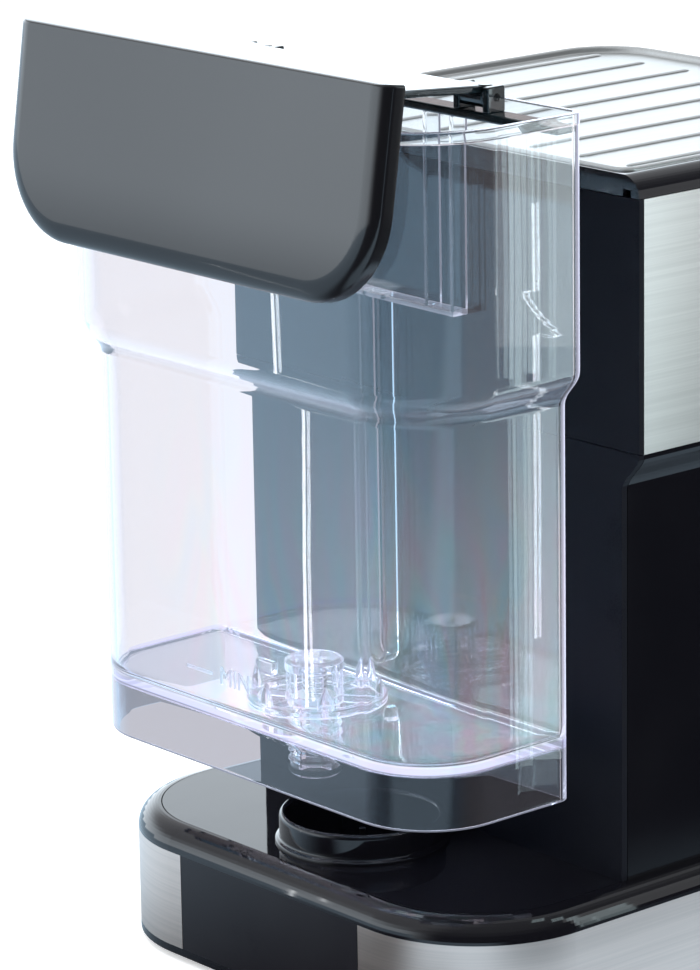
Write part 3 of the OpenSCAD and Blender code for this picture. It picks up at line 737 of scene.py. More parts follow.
def round_plan(half: float, y0: float, y1: float, front: float, back: float, steps: int = 9) -> list[Flat]:
    """Gives a rounded outline seen from above, anticlockwise.

    Args:
        half: Half the width.
        y0: Front edge.
        y1: Back edge.
        front: Radius of the front corners.
        back: Radius of the back corners.
        steps: Spans in each corner.

    Returns:
        The outline's points.
    """
    corners = (
        (half - front, y0 + front, front, -90),
        (half - back, y1 - back, back, 0),
        (back - half, y1 - back, back, 90),
        (front - half, y0 + front, front, 180),
    )
    points = []
    for x, y, radius, start in corners:
        for i in range(steps + 1):
            turn = math.radians(start + 90 * i / steps)
            points.append((x + radius * math.cos(turn), y + radius * math.sin(turn)))
    return points


def level(outline: Iterable[Flat], z: float) -> list[Point]:
    """Lifts an outline to a height.

    Args:
        outline: Points seen from above.
        z: The height.

    Returns:
        The points in space.
    """
    return [(x, y, z) for x, y in outline]


def upright(outline: Iterable[Flat], y: float) -> list[Point]:
    """Stands an outline up in the X-Z plane.

    Args:
        outline: Points as X and Z.
        y: Depth at which it stands.

    Returns:
        The points in space.
    """
    return [(x, y, z) for x, z in outline]


@dataclass(frozen=True)
class Extent:
    """Box of a node of the frame, in millimetres."""

    low: Vector
    high: Vector

    @classmethod
    def of(cls, node: str) -> Extent:
        """Measures a node.

        Args:
            node: Name of the node.

        Returns:
            Its box at rest.
        """
        low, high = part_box(node)
        return cls(low / MM, high / MM)

    @property
    def middle(self) -> Vector:
        """Centre of the box."""
        return (self.low + self.high) / 2


class Shape:
    """A mesh under construction, in millimetres."""

    def __init__(self) -> None:
        """Starts an empty mesh."""
        self.mesh = bmesh.new()

    def loft(self, rings: Sequence[Sequence[Point]], looped: bool = False) -> Shape:
        """Skins a row of rings that have the same number of points.

        Args:
            rings: The rings, in order.
            looped: True joins the last ring to the first; otherwise both ends are capped.

        Returns:
            This shape.
        """
        rows = [[self.mesh.verts.new(point) for point in ring] for ring in rings]
        pairs = list(zip(rows, rows[1:]))
        if looped:
            pairs.append((rows[-1], rows[0]))
        for low, high in pairs:
            for i in range(len(low)):
                j = (i + 1) % len(low)
                self.mesh.faces.new((low[i], low[j], high[j], high[i]))
        if not looped:
            self.mesh.faces.new(rows[0][::-1])
            self.mesh.faces.new(rows[-1])
        return self

    def lathe(
        self,
        profile: Sequence[Flat],
        centre: Point,
        axis: Axis = Axis.Z,
        steps: int = 48,
        looped: bool = False,
    ) -> Shape:
        """Turns a profile of radius and height about an axis.

        Args:
            profile: Radius and height of each point.
            centre: Foot of the axis.
            axis: Axis to turn about.
            steps: Spans in a turn.
            looped: True for a ring, whose profile closes on itself.

        Returns:
            This shape.
        """
        rings = []
        for radius, height in profile:
            ring = []
            for i in range(steps):
                turn = math.tau * i / steps
                across, along = max(radius, 0.02) * math.cos(turn), max(radius, 0.02) * math.sin(turn)
                offset = {
                    Axis.X: (height, across, along),
                    Axis.Y: (across, height, along),
                    Axis.Z: (across, along, height),
                }[axis]
                ring.append(tuple(c + o for c, o in zip(centre, offset)))
            rings.append(ring)
        return self.loft(rings, looped)

    def block(self, low: Point, high: Point, soft: float = 0.4, segments: int = 2) -> Shape:
        """Adds a block with eased edges.

        Args:
            low: Lowest corner.
            high: Highest corner.
            soft: Radius of the edges.
            segments: Spans in an edge.

        Returns:
            This shape.
        """
        centre = Matrix.Translation([(a + b) / 2 for a, b in zip(low, high)])
        size = Matrix.Diagonal([b - a for a, b in zip(low, high)] + [1.0])
        made = bmesh.ops.create_cube(self.mesh, size=1.0, matrix=centre @ size)
        if soft:
            edges = list({edge for vert in made["verts"] for edge in vert.link_edges})
            bmesh.ops.bevel(
                self.mesh, geom=edges, offset=soft, segments=segments, profile=0.5, affect="EDGES"
            )
        return self

    def turn(self, pivot: Point, degrees: float) -> Shape:
        """Turns everything drawn so far about an axis along X.

        Args:
            pivot: A point on the axis.
            degrees: Angle.

        Returns:
            This shape.
        """
        bmesh.ops.rotate(
            self.mesh,
            cent=pivot,
            matrix=Matrix.Rotation(math.radians(degrees), 3, "X"),
            verts=self.mesh.verts[:],
        )
        return self

    def shift(self, offset: Point) -> Shape:
        """Moves everything drawn so far.

        Args:
            offset: How far.

        Returns:
            This shape.
        """
        bmesh.ops.translate(self.mesh, vec=offset, verts=self.mesh.verts[:])
        return self

    def make(self, name: str) -> bpy.types.Object:
        """Turns the shape into an object in metres.

        Args:
            name: Name of the object.

        Returns:
            The object, at the origin.
        """
        bmesh.ops.remove_doubles(self.mesh, verts=self.mesh.verts[:], dist=1e-4)
        bmesh.ops.recalc_face_normals(self.mesh, faces=self.mesh.faces[:])
        bmesh.ops.scale(self.mesh, vec=(MM, MM, MM), verts=self.mesh.verts[:])
        data = bpy.data.meshes.new(name)
        self.mesh.to_mesh(data)
        self.mesh.free()
        made = bpy.data.objects.new(name, data)
        bpy.context.scene.collection.objects.link(made)
        return made


def settle(target: bpy.types.Object) -> None:
    """Turns an object's modifiers into its mesh.

    Args:
        target: Object to settle.
    """
    graph = bpy.context.evaluated_depsgraph_get()
    data = bpy.data.meshes.new_from_object(target.evaluated_get(graph))
    target.modifiers.clear()
    target.data = data


def combine(target: bpy.types.Object, tool: Shape, join: Join) -> None:
    """Adds a shape to an object or cuts it out of it.

    Args:
        target: Object that changes.
        tool: Closed shape, used up.
        join: What to do with it.
    """
    other = tool.make("tool")
    change = target.modifiers.new("Join", "BOOLEAN")
    change.operation, change.solver, change.object = join.value, "EXACT", other
    settle(target)
    bpy.data.objects.remove(other)


def merge(target: bpy.types.Object, others: Sequence[bpy.types.Object]) -> None:
    """Puts the meshes of other objects into one object.

    Args:
        target: Object that takes them and keeps its own mesh.
        others: Objects that are used up.
    """
    whole = bmesh.new()
    whole.from_mesh(target.data)
    for other in others:
        whole.from_mesh(other.data)
    whole.to_mesh(target.data)
    whole.free()
    for other in others:
        bpy.data.objects.remove(other)


# ---------------------------------------------------------------- repeating layouts


class Layout:
    """A geometry node tree that repeats a part; its sizes are named inputs."""

    def __init__(self, name: str) -> None:
        """Starts a tree.

        Args:
            name: Name of the tree.
        """
        self.tree = bpy.data.node_groups.new(name, "GeometryNodeTree")
        self.tree.interface.new_socket(name="Part", in_out="INPUT", socket_type="NodeSocketGeometry")
        self.tree.interface.new_socket(name="Geometry", in_out="OUTPUT", socket_type="NodeSocketGeometry")
        self.entry = self.tree.nodes.new("NodeGroupInput")
        self.exit = self.tree.nodes.new("NodeGroupOutput")
        self.values: dict[str, object] = {}

    def size(self, name: str, value: float | int | Point) -> bpy.types.NodeSocket:
        """Adds a named input.

        Args:
            name: Name of the size.
            value: Its value, in metres where it is a length.

        Returns:
            The socket that carries it.
        """
        kind = {int: "NodeSocketInt", float: "NodeSocketFloat", tuple: "NodeSocketVector"}[type(value)]
        made = self.tree.interface.new_socket(name=name, in_out="INPUT", socket_type=kind)
        self.values[made.identifier] = value
        return self.entry.outputs[name]

    def node(
        self, kind: str, settings: dict[str, object] | None = None, inputs: dict[str, object] | None = None
    ) -> bpy.types.Node:
        """Adds a node.

        Args:
            kind: Type of the node.
            settings: The node's own settings.
            inputs: Values or links of its sockets.

        Returns:
            The node.
        """
        made = self.tree.nodes.new(kind)
        for name, value in (settings or {}).items():
            setattr(made, name, value)
        for name, value in (inputs or {}).items():
            if isinstance(value, bpy.types.NodeSocket):
                self.tree.links.new(value, made.inputs[name])
            else:
                made.inputs[name].default_value = value
        return made

    def copies(self, inputs: dict[str, object]) -> bpy.types.NodeSocket:
        """Puts a copy of the part on every point.

        Args:
            inputs: The points and, where they turn the copies, rotations.

        Returns:
            The copies.
        """
        part = {"Instance": self.entry.outputs["Part"]}
        return self.node("GeometryNodeInstanceOnPoints", {}, inputs | part).outputs[0]

    def moved(self, geometry: bpy.types.NodeSocket, name: str, place: Point) -> bpy.types.NodeSocket:
        """Moves geometry by a named size.

        Args:
            geometry: What is moved.
            name: Name of the size.
            place: Where the origin goes, in metres.

        Returns:
            The moved geometry.
        """
        inputs = {"Geometry": geometry, "Translation": self.size(name, place)}
        return self.node("GeometryNodeTransform", {}, inputs).outputs[0]

    def close(self, geometry: bpy.types.NodeSocket, finish: Finish) -> Layout:
        """Ends the tree with real, finished geometry.

        Args:
            geometry: What the tree has made.
            finish: Finish of all of it.

        Returns:
            This layout.
        """
        real = self.node("GeometryNodeRealizeInstances", {}, {"Geometry": geometry})
        done = self.node(
            "GeometryNodeSetMaterial", {}, {"Geometry": real.outputs[0], "Material": finish.material()}
        )
        self.tree.links.new(done.outputs[0], self.exit.inputs[0])
        return self

    def run(self, part: bpy.types.Object) -> bpy.types.Object:
        """Runs the tree on an object and keeps the result as its mesh.

        Args:
            part: Object that holds the repeated part.

        Returns:
            The same object.
        """
        change = part.modifiers.new("Layout", "NODES")
        change.node_group = self.tree
        for identifier, value in self.values.items():
            change[identifier] = value
        settle(part)
        return part

    @classmethod
    def row(cls, name: str, count: int, start: Point, step: Point, finish: Finish) -> Layout:
        """Repeats a part in a straight row.

        Args:
            name: Name of the tree.
            count: How many.
            start: Place of the first, in metres.
            step: Step to the next, in metres.
            finish: Finish of the row.

        Returns:
            The layout.
        """
        made = cls(name)
        line = made.node(
            "GeometryNodeMeshLine",
            {"mode": "OFFSET"},
            {
                "Count": made.size("Count", count),
                "Start Location": made.size("Start", start),
                "Offset": made.size("Step", step),
            },
        )
        return made.close(made.copies({"Points": line.outputs[0]}), finish)

    @classmethod
    def four(cls, name: str, spread: Flat, centre: Point, finish: Finish) -> Layout:
        """Repeats a part at the four corners of a rectangle.

        Args:
            name: Name of the tree.
            spread: Distance between the corners in X and Y, in metres.
            centre: Middle of the rectangle, in metres.
            finish: Finish of the parts.

        Returns:
            The layout.
        """
        made = cls(name)
        grid = made.node(
            "GeometryNodeMeshGrid",
            {},
            {
                "Size X": made.size("Spread X", spread[0]),
                "Size Y": made.size("Spread Y", spread[1]),
                "Vertices X": 2,
                "Vertices Y": 2,
            },
        )
        placed = made.copies({"Points": grid.outputs[0]})
        return made.close(made.moved(placed, "Centre", centre), finish)

    @classmethod
    def circle(
        cls, name: str, count: int, centre: Point, turned: Axis, first: float, finish: Finish
    ) -> Layout:
        """Repeats a part, drawn about the origin, round an axis.

        Args:
            name: Name of the tree.
            count: How many.
            centre: Centre of the circle, in metres.
            turned: Axis of the circle, Y or Z.
            first: Angle of the first, in degrees.
            finish: Finish of the parts.

        Returns:
            The layout.
        """
        made = cls(name)
        number = made.size("Count", count)
        points = made.node("GeometryNodePoints", {}, {"Count": number})
        index = made.node("GeometryNodeInputIndex")
        share = made.node("ShaderNodeMath", {"operation": "DIVIDE"})
        made.tree.links.new(index.outputs[0], share.inputs[0])
        made.tree.links.new(number, share.inputs[1])
        angle = made.node("ShaderNodeMath", {"operation": "MULTIPLY_ADD"})
        made.tree.links.new(share.outputs[0], angle.inputs[0])
        angle.inputs[1].default_value = math.tau
        made.tree.links.new(made.size("First angle", math.radians(first)), angle.inputs[2])
        euler = made.node("ShaderNodeCombineXYZ")
        made.tree.links.new(angle.outputs[0], euler.inputs[turned.value.upper()])
        rotation = made.node("FunctionNodeEulerToRotation", {}, {"Euler": euler.outputs[0]})
        placed = made.copies({"Points": points.outputs[0], "Rotation": rotation.outputs[0]})
        return made.close(made.moved(placed, "Centre", centre), finish)

    @classmethod
    def coil(
        cls, name: str, turns: float, radius: float, height: float, wire: float, foot: Point, finish: Finish
    ) -> Layout:
        """Winds a wire into a helix.

        Args:
            name: Name of the tree.
            turns: Number of turns.
            radius: Radius of the wire's middle, in metres.
            height: Height of the coil, in metres.
            wire: Radius of the wire, in metres.
            foot: Foot of the coil's axis, in metres.
            finish: Finish of the wire.

        Returns:
            The layout.
        """
        made = cls(name)
        around = made.size("Radius", radius)
        spiral = made.node(
            "GeometryNodeCurveSpiral",
            {},
            {
                "Resolution": 28,
                "Rotations": made.size("Turns", turns),
                "Start Radius": around,
                "End Radius": around,
                "Height": made.size("Height", height),
            },
        )
        section = made.node(
            "GeometryNodeCurvePrimitiveCircle", {}, {"Resolution": 10, "Radius": made.size("Wire", wire)}
        )
        swept = made.node(
            "GeometryNodeCurveToMesh",
            {},
            {"Curve": spiral.outputs[0], "Profile Curve": section.outputs[0], "Fill Caps": True},
        )
        return made.close(made.moved(swept.outputs[0], "Foot", foot), finish)


def metres(*values: float) -> Point:
    """Turns millimetres into metres.

    Args:
        values: Three lengths in millimetres.

    Returns:
        The same in metres.
    """
    return tuple(value * MM for value in values)


# ---------------------------------------------------------------- sub-assemblies


class Assembly:
    """What every sub-assembly shares: hanging pieces on the frame and dressing its nodes."""

    nodes: dict[str, bpy.types.Object] = {}

    def hang(
        self,
        made: bpy.types.Object,
        body: str,
        slot: str,
        finishes: Sequence[Finish],
        stands_for: Sequence[str] = (),
        crease: float = 32.0,
    ) -> bpy.types.Object:
        """Finishes a piece and hangs it on a body.

        Args:
            made: The piece.
            body: Body that it moves with.
            slot: The record's material slot; not used.
            finishes: Its finishes, in the order of its faces' indices.
            stands_for: Nodes of the frame that it is shown for.
            crease: Angle above which an edge stays sharp, in degrees.

        Returns:
            The piece.
        """
        data = made.data
        if not data.materials:
            for finish in finishes:
                data.materials.append(finish.material())
        data.shade_smooth()
        data.set_sharp_from_angle(angle=math.radians(crease))
        weighted = made.modifiers.new("Flat faces first", "WEIGHTED_NORMAL")
        weighted.keep_sharp = True
        weighted.weight = 60
        if stands_for:
            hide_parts(*stands_for)
        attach(made, body)
        LOG.info("%s: %d faces on %s", made.name, len(data.polygons), body)
        return made

    def dress(self, finishes: dict[str, Finish]) -> None:
        """Puts finishes on nodes of the frame.

        Args:
            finishes: Finish of each node.
        """
        for name, finish in finishes.items():
            for place in self.nodes[name].material_slots:
                place.material = finish.material()
            LOG.info("%s: dressed in %s", name, finish.name)


@dataclass
class Base(Assembly):
    """Plinth with its deck, trims, feet and screws."""

    foot_radius: float = 9.0
    head_radius: float = 3.4

    def build(self) -> None:
        """Builds the feet and screws and dresses the casings."""
        self.dress(
            {
                "base_shell": GLOSS_BLACK,
                "deck_plate": GLOSS_BLACK,
                "rear_plinth": PLINTH,
                "trim_left": TRIM_STEEL,
                "trim_right": TRIM_STEEL,
                "base_plate": MATTE_BLACK,
                "cable_gland": RUBBER,
            }
        )
        self.feet()
        self.screws()

    def corners(self, node: str, radius: float) -> tuple[Flat, Point]:
        """Finds the rectangle that four equal parts stand on.

        Args:
            node: Node that holds the four parts.
            radius: Largest radius of one part.

        Returns:
            The rectangle's sides and its middle, in metres.
        """
        box = Extent.of(node)
        sides = (box.high - box.low) - Vector((2 * radius, 2 * radius, 0))
        return (sides.x * MM, sides.y * MM), metres(box.middle.x, box.middle.y, box.low.z)

    def feet(self) -> None:
        """Builds the four rubber feet."""
        spread, centre = self.corners("feet", self.foot_radius)
        foot = Shape().lathe(
            (
                (0, 0.5), (5.4, 0.5), (6.0, 0.0), (8.3, 0.0), (8.9, 0.5), (9.0, 2.5), (3.0, 2.6),
                (2.8, 6.4), (0, 6.5),
            ),
            (0, 0, 0),
            steps=32,
        )
        made = Layout.four("foot_layout", spread, centre, RUBBER).run(foot.make("rubber_feet"))
        self.hang(made, "machine", "black_rubber", [RUBBER], ["feet"])

    def screws(self) -> None:
        """Builds the four screws of the underside, with cross recesses."""
        spread, centre = self.corners("base_screws", self.head_radius)
        screw = Shape().lathe(
            (
                (0, 0.7), (1.2, 0.7), (1.5, 0.0), (2.9, 0.1), (3.4, 0.9), (3.4, 1.6), (1.5, 1.7),
                (1.5, 16.0), (0, 16.5),
            ),
            (0, 0, 0),
            steps=24,
        )
        for turn in range(2):
            half = (1.2, 0.3) if turn else (0.3, 1.2)
            screw.block((-half[0], -half[1], 0.25), (half[0], half[1], 0.8), 0.05, 1)
        layout = Layout.four("screw_layout", spread, centre, BRIGHT_STEEL)
        made = layout.run(screw.make("underside_screws"))
        self.hang(made, "machine", "bright_steel", [BRIGHT_STEEL], ["base_screws"])


@dataclass
class Inlet(Assembly):
    """Socket in the deck that the tank's spout stands in."""

    collar_radius: float = 30.0
    height: float = 11.0
    depth: float = 18.0

    def build(self) -> None:
        """Builds the collar and dresses the valve's fixed side."""
        box = Extent.of("inlet_collar")
        deck = box.high.z - self.height
        r = self.collar_radius
        profile = (
            (5.2, -self.depth), (r - 0.3, -self.depth), (r - 0.3, 0), (r + 1.5, 0.02), (r + 1.5, 0.9),
            (r + 1.2, 1.35), (r + 0.6, 1.5), (r + 0.1, 2.0), (r, 2.8), (r, 9.0), (r - 0.2, 10.1),
            (r - 0.7, 10.8), (r - 1.3, 11.0), (r - 1.9, 10.8), (r - 2.4, 10.1), (r - 2.5, 9.0),
            (r - 2.5, -15.2), (r - 3.3, -16), (5.2, -16),
        )
        collar = Shape().lathe(profile, (box.middle.x, box.middle.y, deck), steps=96, looped=True)
        made = collar.make("inlet_ring")
        self.hang(made, "machine", "gloss_black", [GLOSS_BLACK], ["inlet_collar"], 50.0)
        self.dress({"inlet_nozzle": WHITE_PLASTIC, "inlet_seal": RUBBER, "valve_pin": BRIGHT_STEEL})


@dataclass
class Tray(Assembly):
    """Drip tray with its slotted grate and level float."""

    slots: int = 11
    slack: float = 1.0
    margin: float = 12.0
    front_bar: float = 8.0
    back_plate: float = 30.0
    neck_step: float = 3.0
    neck_gap: float = 1.5

    def build(self) -> None:
        """Builds the grate and the float and dresses the tray."""
        self.dress({"tray_bay": MATTE_BLACK, "drip_tray": PLINTH})
        self.grate()
        self.level_float()

    def grate(self) -> None:
        """Builds the grate: a pressed frame with rounded slats."""
        box = Extent.of("drip_grate")
        low, high = box.low, box.high
        hole = Extent.of("tray_float")
        width = (high.x - low.x + self.slack - self.margin) / self.slots
        slot_y0, slot_y1 = low.y + self.front_bar, high.y - self.back_plate
        edge = -low.x - (self.slots * width) / 2 + width / 4
        frame = Shape()
        frame.block((low.x, low.y, low.z), (high.x, slot_y0, high.z), 1.2, 3)
        frame.block((low.x, slot_y0 - 1, low.z), (low.x + edge, slot_y1 + 1, high.z), 0.8)
        frame.block((high.x - edge, slot_y0 - 1, low.z), (high.x, slot_y1 + 1, high.z), 0.8)
        made = frame.make("drip_rack")
        plate = Shape().block((low.x, slot_y1, low.z), (high.x, high.y, high.z), 1.2, 3)
        plate = plate.make("rack_plate")
        reach = hole.high.x - hole.middle.x - self.neck_step + self.neck_gap
        combine(
            plate,
            Shape().lathe(
                ((reach, low.z - 1), (reach, high.z - 1), (reach + 1, high.z + 0.1), (reach + 1, high.z + 1)),
                (hole.middle.x, hole.middle.y, 0),
            ),
            Join.CUT,
        )
        half = width / 4
        slat = Shape().block((-half, slot_y0 - 1, low.z), (half, slot_y1 + 1, high.z - 0.15), 1.6, 3)
        rows = Layout.row(
            "slat_row",
            self.slots - 1,
            metres((1 - self.slots / 2) * width, 0, 0),
            metres(width, 0, 0),
            GRATE_STEEL,
        ).run(slat.make("rack_slats"))
        for part in (made, plate):
            if not part.data.materials:
                part.data.materials.append(GRATE_STEEL.material())
        merge(made, [plate, rows])
        self.hang(made, "drip_grate", "brushed_steel", [GRATE_STEEL], ["drip_grate"])

    def level_float(self) -> None:
        """Builds the red float that rises as the tray fills."""
        box = Extent.of("tray_float")
        reach = box.high.x - box.middle.x
        neck = reach - self.neck_step
        tall = box.high.z - box.low.z
        float_shape = Shape().lathe(
            (
                (0, 0), (reach - 1, 0), (reach, 1), (reach, 5), (reach - 1, 6), (neck, 6.4),
                (neck, tall - 2.4), (neck - 0.8, tall - 0.8), (2.2, tall - 0.1), (0, tall),
            ),
            (box.middle.x, box.middle.y, box.low.z),
        )
        made = float_shape.make("level_float")
        self.hang(made, "tray_float", "red_plastic", [RED_PLASTIC], ["tray_float"], 50.0)


@dataclass
class Casing(Assembly):
    """Column and head: shells, covers, steel sides and the steel top."""

    rib_count: int = 8
    rib_pitch: float = 24.0
    rib_half: float = 1.9
    rib_rise: float = 0.8
    rib_front: float = 16.0
    rib_back: float = 13.0
    rib_spans: int = 6
    sheet: float = 1.0
    front_radius: float = 25.5
    back_radius: float = 6.5

    def build(self) -> None:
        """Builds the steel top and dresses the casings."""
        self.dress(
            {
                "column_shell": COLUMN_BLACK,
                "column_back": CHARCOAL,
                "head_shell": MATTE_BLACK,
                "head_back": CHARCOAL,
                "side_panel_left": SIDE_STEEL,
                "side_panel_right": SIDE_STEEL,
                "front_cover": GLOSS_BLACK,
                "top_bezel": GLOSS_BLACK,
            }
        )
        self.steel_top()

    def steel_top(self) -> None:
        """Builds the steel top: a pressed sheet with a rolled edge and a row of ribs."""
        box = Extent.of("top_plate")
        half, y0, y1, foot, crest = box.high.x, box.low.y, box.high.y, box.low.z, box.high.z
        sheet = foot + self.sheet
        edge = (
            (9.0, sheet), (4.6, sheet), (4.0, sheet + 0.1), (3.5, sheet + 0.5), (3.2, crest - 1.0),
            (2.7, crest - 0.4), (2.1, crest - 0.05), (1.6, crest), (1.0, crest - 0.12), (0.4, crest - 0.6),
            (0.05, crest - 1.3), (0.0, foot + 0.6), (0.3, foot), (9.0, foot),
        )
        rings = [
            level(
                round_plan(
                    half - i, y0 + i, y1 - i, self.front_radius - i, max(self.back_radius - i, 0.6), 12
                ),
                z,
            )
            for i, z in edge
        ]
        made = Shape().loft(rings).make("steel_top")
        made.data.materials.append(TOP_STEEL_WITH_PAINTED_SHADE.material())
        steps = self.rib_spans
        rib = Shape()
        sections = []
        for y, share in self.rib_ends(y0 + self.rib_front, y1 - self.rib_back):
            arch = [
                (
                    self.rib_half * share * math.cos(math.pi * i / steps),
                    self.rib_rise * share * math.sin(math.pi * i / steps),
                )
                for i in range(steps + 1)
            ]
            arch += [(-self.rib_half * share, -0.4), (self.rib_half * share, -0.4)]
            sections.append([(x, y, sheet + z) for x, z in arch])
        rib.loft(sections)
        first = -(self.rib_count - 1) / 2 * self.rib_pitch
        ribs = Layout.row(
            "rib_row", self.rib_count, metres(first, 0, 0), metres(self.rib_pitch, 0, 0), TOP_STEEL_WITH_PAINTED_SHADE
        ).run(rib.make("top_ribs"))
        merge(made, [ribs])
        self.hang(made, "machine", "brushed_steel", [TOP_STEEL_WITH_PAINTED_SHADE], ["top_plate"], 55.0)

    @staticmethod
    def rib_ends(y0: float, y1: float) -> list[Flat]:
        """Gives the depth and the share of the full section at each station of a rib.

        Args:
            y0: Front end.
            y1: Back end.

        Returns:
            Depth and share, from front to back.
        """
        taper = [(0.0, 0.12), (0.5, 0.5), (1.5, 0.8), (3.0, 1.0)]
        return [(y0 + d, s) for d, s in taper] + [(y1 - d, s) for d, s in reversed(taper)]


@dataclass
class Works(Assembly):
    """Pump, heater, hoses and boards inside the casing."""

    def build(self) -> None:
        """Dresses the inner parts."""
        self.dress(
            {
                "pump_body": WHITE_PLASTIC,
                "pump_coil": COIL,
                "pump_mounts": RUBBER,
                "flow_meter": WHITE_PLASTIC,
                "suction_hose": HOSE,
                "pressure_hose": HOSE,
                "brew_hose": HOSE,
                "thermoblock": ALUMINIUM,
                "boiler_bracket": BRIGHT_STEEL,
                "thermostat": BRIGHT_STEEL,
                "control_board": BOARD,
                "button_board": BOARD,
            }
        )


@dataclass
class BrewGroup(Assembly):
    """Capsule door with its cradle, the piston behind it and the spout."""

    door_radius: float = 7.0
    door_thickness: float = 4.0
    bar_radius: float = 4.5
    post_spread: float = 20.0
    nozzle_spread: float = 8.0

    def build(self) -> None:
        """Builds the door, handle, teeth and spout and dresses the rest."""
        self.dress(
            {
                "brew_guide": MATTE_BLACK,
                "door_pin": BRIGHT_STEEL,
                "capsule_cradle": PLINTH,
                "brew_piston": ALUMINIUM,
                "piston_seal": RED_RUBBER,
            }
        )
        self.door()
        self.handle()
        self.teeth()
        self.spout()

    def door(self) -> None:
        """Builds the door: a softly edged plate on a hinge barrel."""
        box = Extent.of("capsule_door")
        y0, half, t = box.low.y, box.high.x, self.door_thickness
        z0, z1, r = box.low.z + t, box.high.z, self.door_radius
        rings = [
            upright(round_plan(half - i, z0 + i * 0.3, z1 - i, 0.6, max(r - i, 1.0)), y0 + y)
            for i, y in ((1.6, 0.0), (0.9, 0.12), (0.35, 0.5), (0.0, 1.3), (0.0, t))
        ]
        door = Shape().loft(rings)
        barrel = ((t - 0.6, 0), (t, 0.6), (t, 2 * half - 0.6), (t - 0.6, 2 * half))
        door.lathe(barrel, (-half, y0 + t, z0), Axis.X)
        made = door.make("capsule_flap")
        self.hang(made, "capsule_door", "gloss_black", [GLOSS_BLACK], ["capsule_door"])

    def handle(self) -> None:
        """Builds the handle: a turned bar on two flared posts."""
        box = Extent.of("door_handle")
        r, length = self.bar_radius, box.high.x - box.low.x
        y, z = box.low.y + r, box.middle.z
        bar = Shape().lathe(
            (
                (0, 0), (r - 1.6, 0.05), (r - 0.7, 0.5), (r - 0.15, 1.2), (r, 2.2), (r, length - 2.2),
                (r - 0.15, length - 1.2), (r - 0.7, length - 0.5), (r - 1.6, length - 0.05), (0, length),
            ),
            (box.low.x, y, z),
            Axis.X,
        )
        reach = box.high.y - y
        for side in (-1, 1):
            bar.lathe(
                ((2.6, 1.0), (2.6, reach - 2.6), (2.8, reach - 1.2), (3.0, reach - 0.6), (3.0, reach)),
                (side * self.post_spread, y, z),
                Axis.Y,
                32,
            )
        made = bar.make("door_grip")
        self.hang(made, "capsule_door", "brushed_steel", [HANDLE_STEEL], ["door_handle"])

    def teeth(self) -> None:
        """Builds the ring of piercing teeth."""
        box = Extent.of("capsule_piercer")
        reach = (box.high.x - box.low.x) / 2 - 1.2
        tooth = Shape().lathe(((1.2, 0), (1.15, 2.0), (0.25, 4.9), (0, 5.0)), (reach, 0, 0), Axis.Y, 12)
        made = Layout.circle(
            "tooth_ring", 6, metres(box.middle.x, box.low.y, box.middle.z), Axis.Y, 0.0, BRIGHT_STEEL
        ).run(tooth.make("piercing_teeth"))
        self.hang(made, "capsule_door", "bright_steel", [BRIGHT_STEEL], ["capsule_piercer"])

    def spout(self) -> None:
        """Builds the twin spout under the head."""
        box = Extent.of("coffee_spout")
        x, y, z0, z1 = box.middle.x, box.middle.y, box.low.z, box.high.z
        body = Shape().lathe(
            (
                (10.0, z1 - z0), (13.5, z1 - z0), (13.5, z1 - z0 - 4), (11.9, z1 - z0 - 4), (11.9, 32),
                (15.0, 31.9), (15.0, 23.5), (14.6, 21.6), (13.4, 20.4), (11.6, 20.0), (3.0, 20.0), (3.0, 24),
                (10.0, 24),
            ),
            (x, y, z0),
            looped=True,
        )
        for side in (-1, 1):
            body.lathe(
                ((2.9, 0.3), (3.2, 0.0), (4.2, 0.0), (4.5, 0.6), (5.0, 8.0), (5.0, 20.6), (3.0, 20.6)),
                (x + side * self.nozzle_spread, y, z0),
                steps=32,
                looped=True,
            )
        self.hang(body.make("twin_spout"), "machine", "matte_black", [PLINTH], ["coffee_spout"])


@dataclass
class Buttons(Assembly):
    """Row of push buttons, each with a raised mark."""

    marks: dict[str, int] = field(
        default_factory=lambda: {"power": 0, "small_cup": 1, "medium_cup": 2, "large_cup": 3}
    )

    def build(self) -> None:
        """Builds the four buttons."""
        for name, count in self.marks.items():
            self.button(name, count)

    def button(self, name: str, count: int) -> None:
        """Builds one button.

        Args:
            name: Name of the button, without its ending.
            count: Number of bars in its mark; 0 draws the power sign.
        """
        node = f"{name}_button"
        box = Extent.of(node)
        x, z, y0, y1 = box.middle.x, box.middle.z, box.low.y, box.high.y
        reach = box.high.x - x
        r = reach - 1.2
        length = y1 - y0
        cap = Shape().lathe(
            (
                (0, 0.3), (r - 2.2, 0.25), (r - 1.2, 0.22), (r - 0.6, 0.35), (r - 0.15, 0.8), (r, 1.4),
                (r, length - 1.4), (reach, length - 1.35), (reach, length), (0, length),
            ),
            (x, y0, z),
            Axis.Y,
        )
        made = cap.make(f"{name}_cap")
        made.data.materials.append(BUTTON_STEEL.material())
        sign = Shape()
        if count:
            for i in range(count):
                place = x + (i - (count - 1) / 2) * 1.9
                sign.block((place - 0.45, y0 + 0.05, z - 1.7), (place + 0.45, y0 + 0.8, z + 1.7), 0.2)
        else:
            circle = ((1.8, 0.05), (2.4, 0.05), (2.4, 0.8), (1.8, 0.8))
            sign.lathe(circle, (x, y0, z), Axis.Y, 32, looped=True)
            sign.block((x - 0.35, y0 + 0.02, z + 0.4), (x + 0.35, y0 + 0.85, z + 3.0), 0.15)
        mark = sign.make("mark")
        made.data.materials.append(PRINT_WHITE.material())
        for face in mark.data.polygons:
            face.material_index = 1
        merge(made, [mark])
        self.hang(made, node, "brushed_steel", [BUTTON_STEEL, PRINT_WHITE], [node], 50.0)


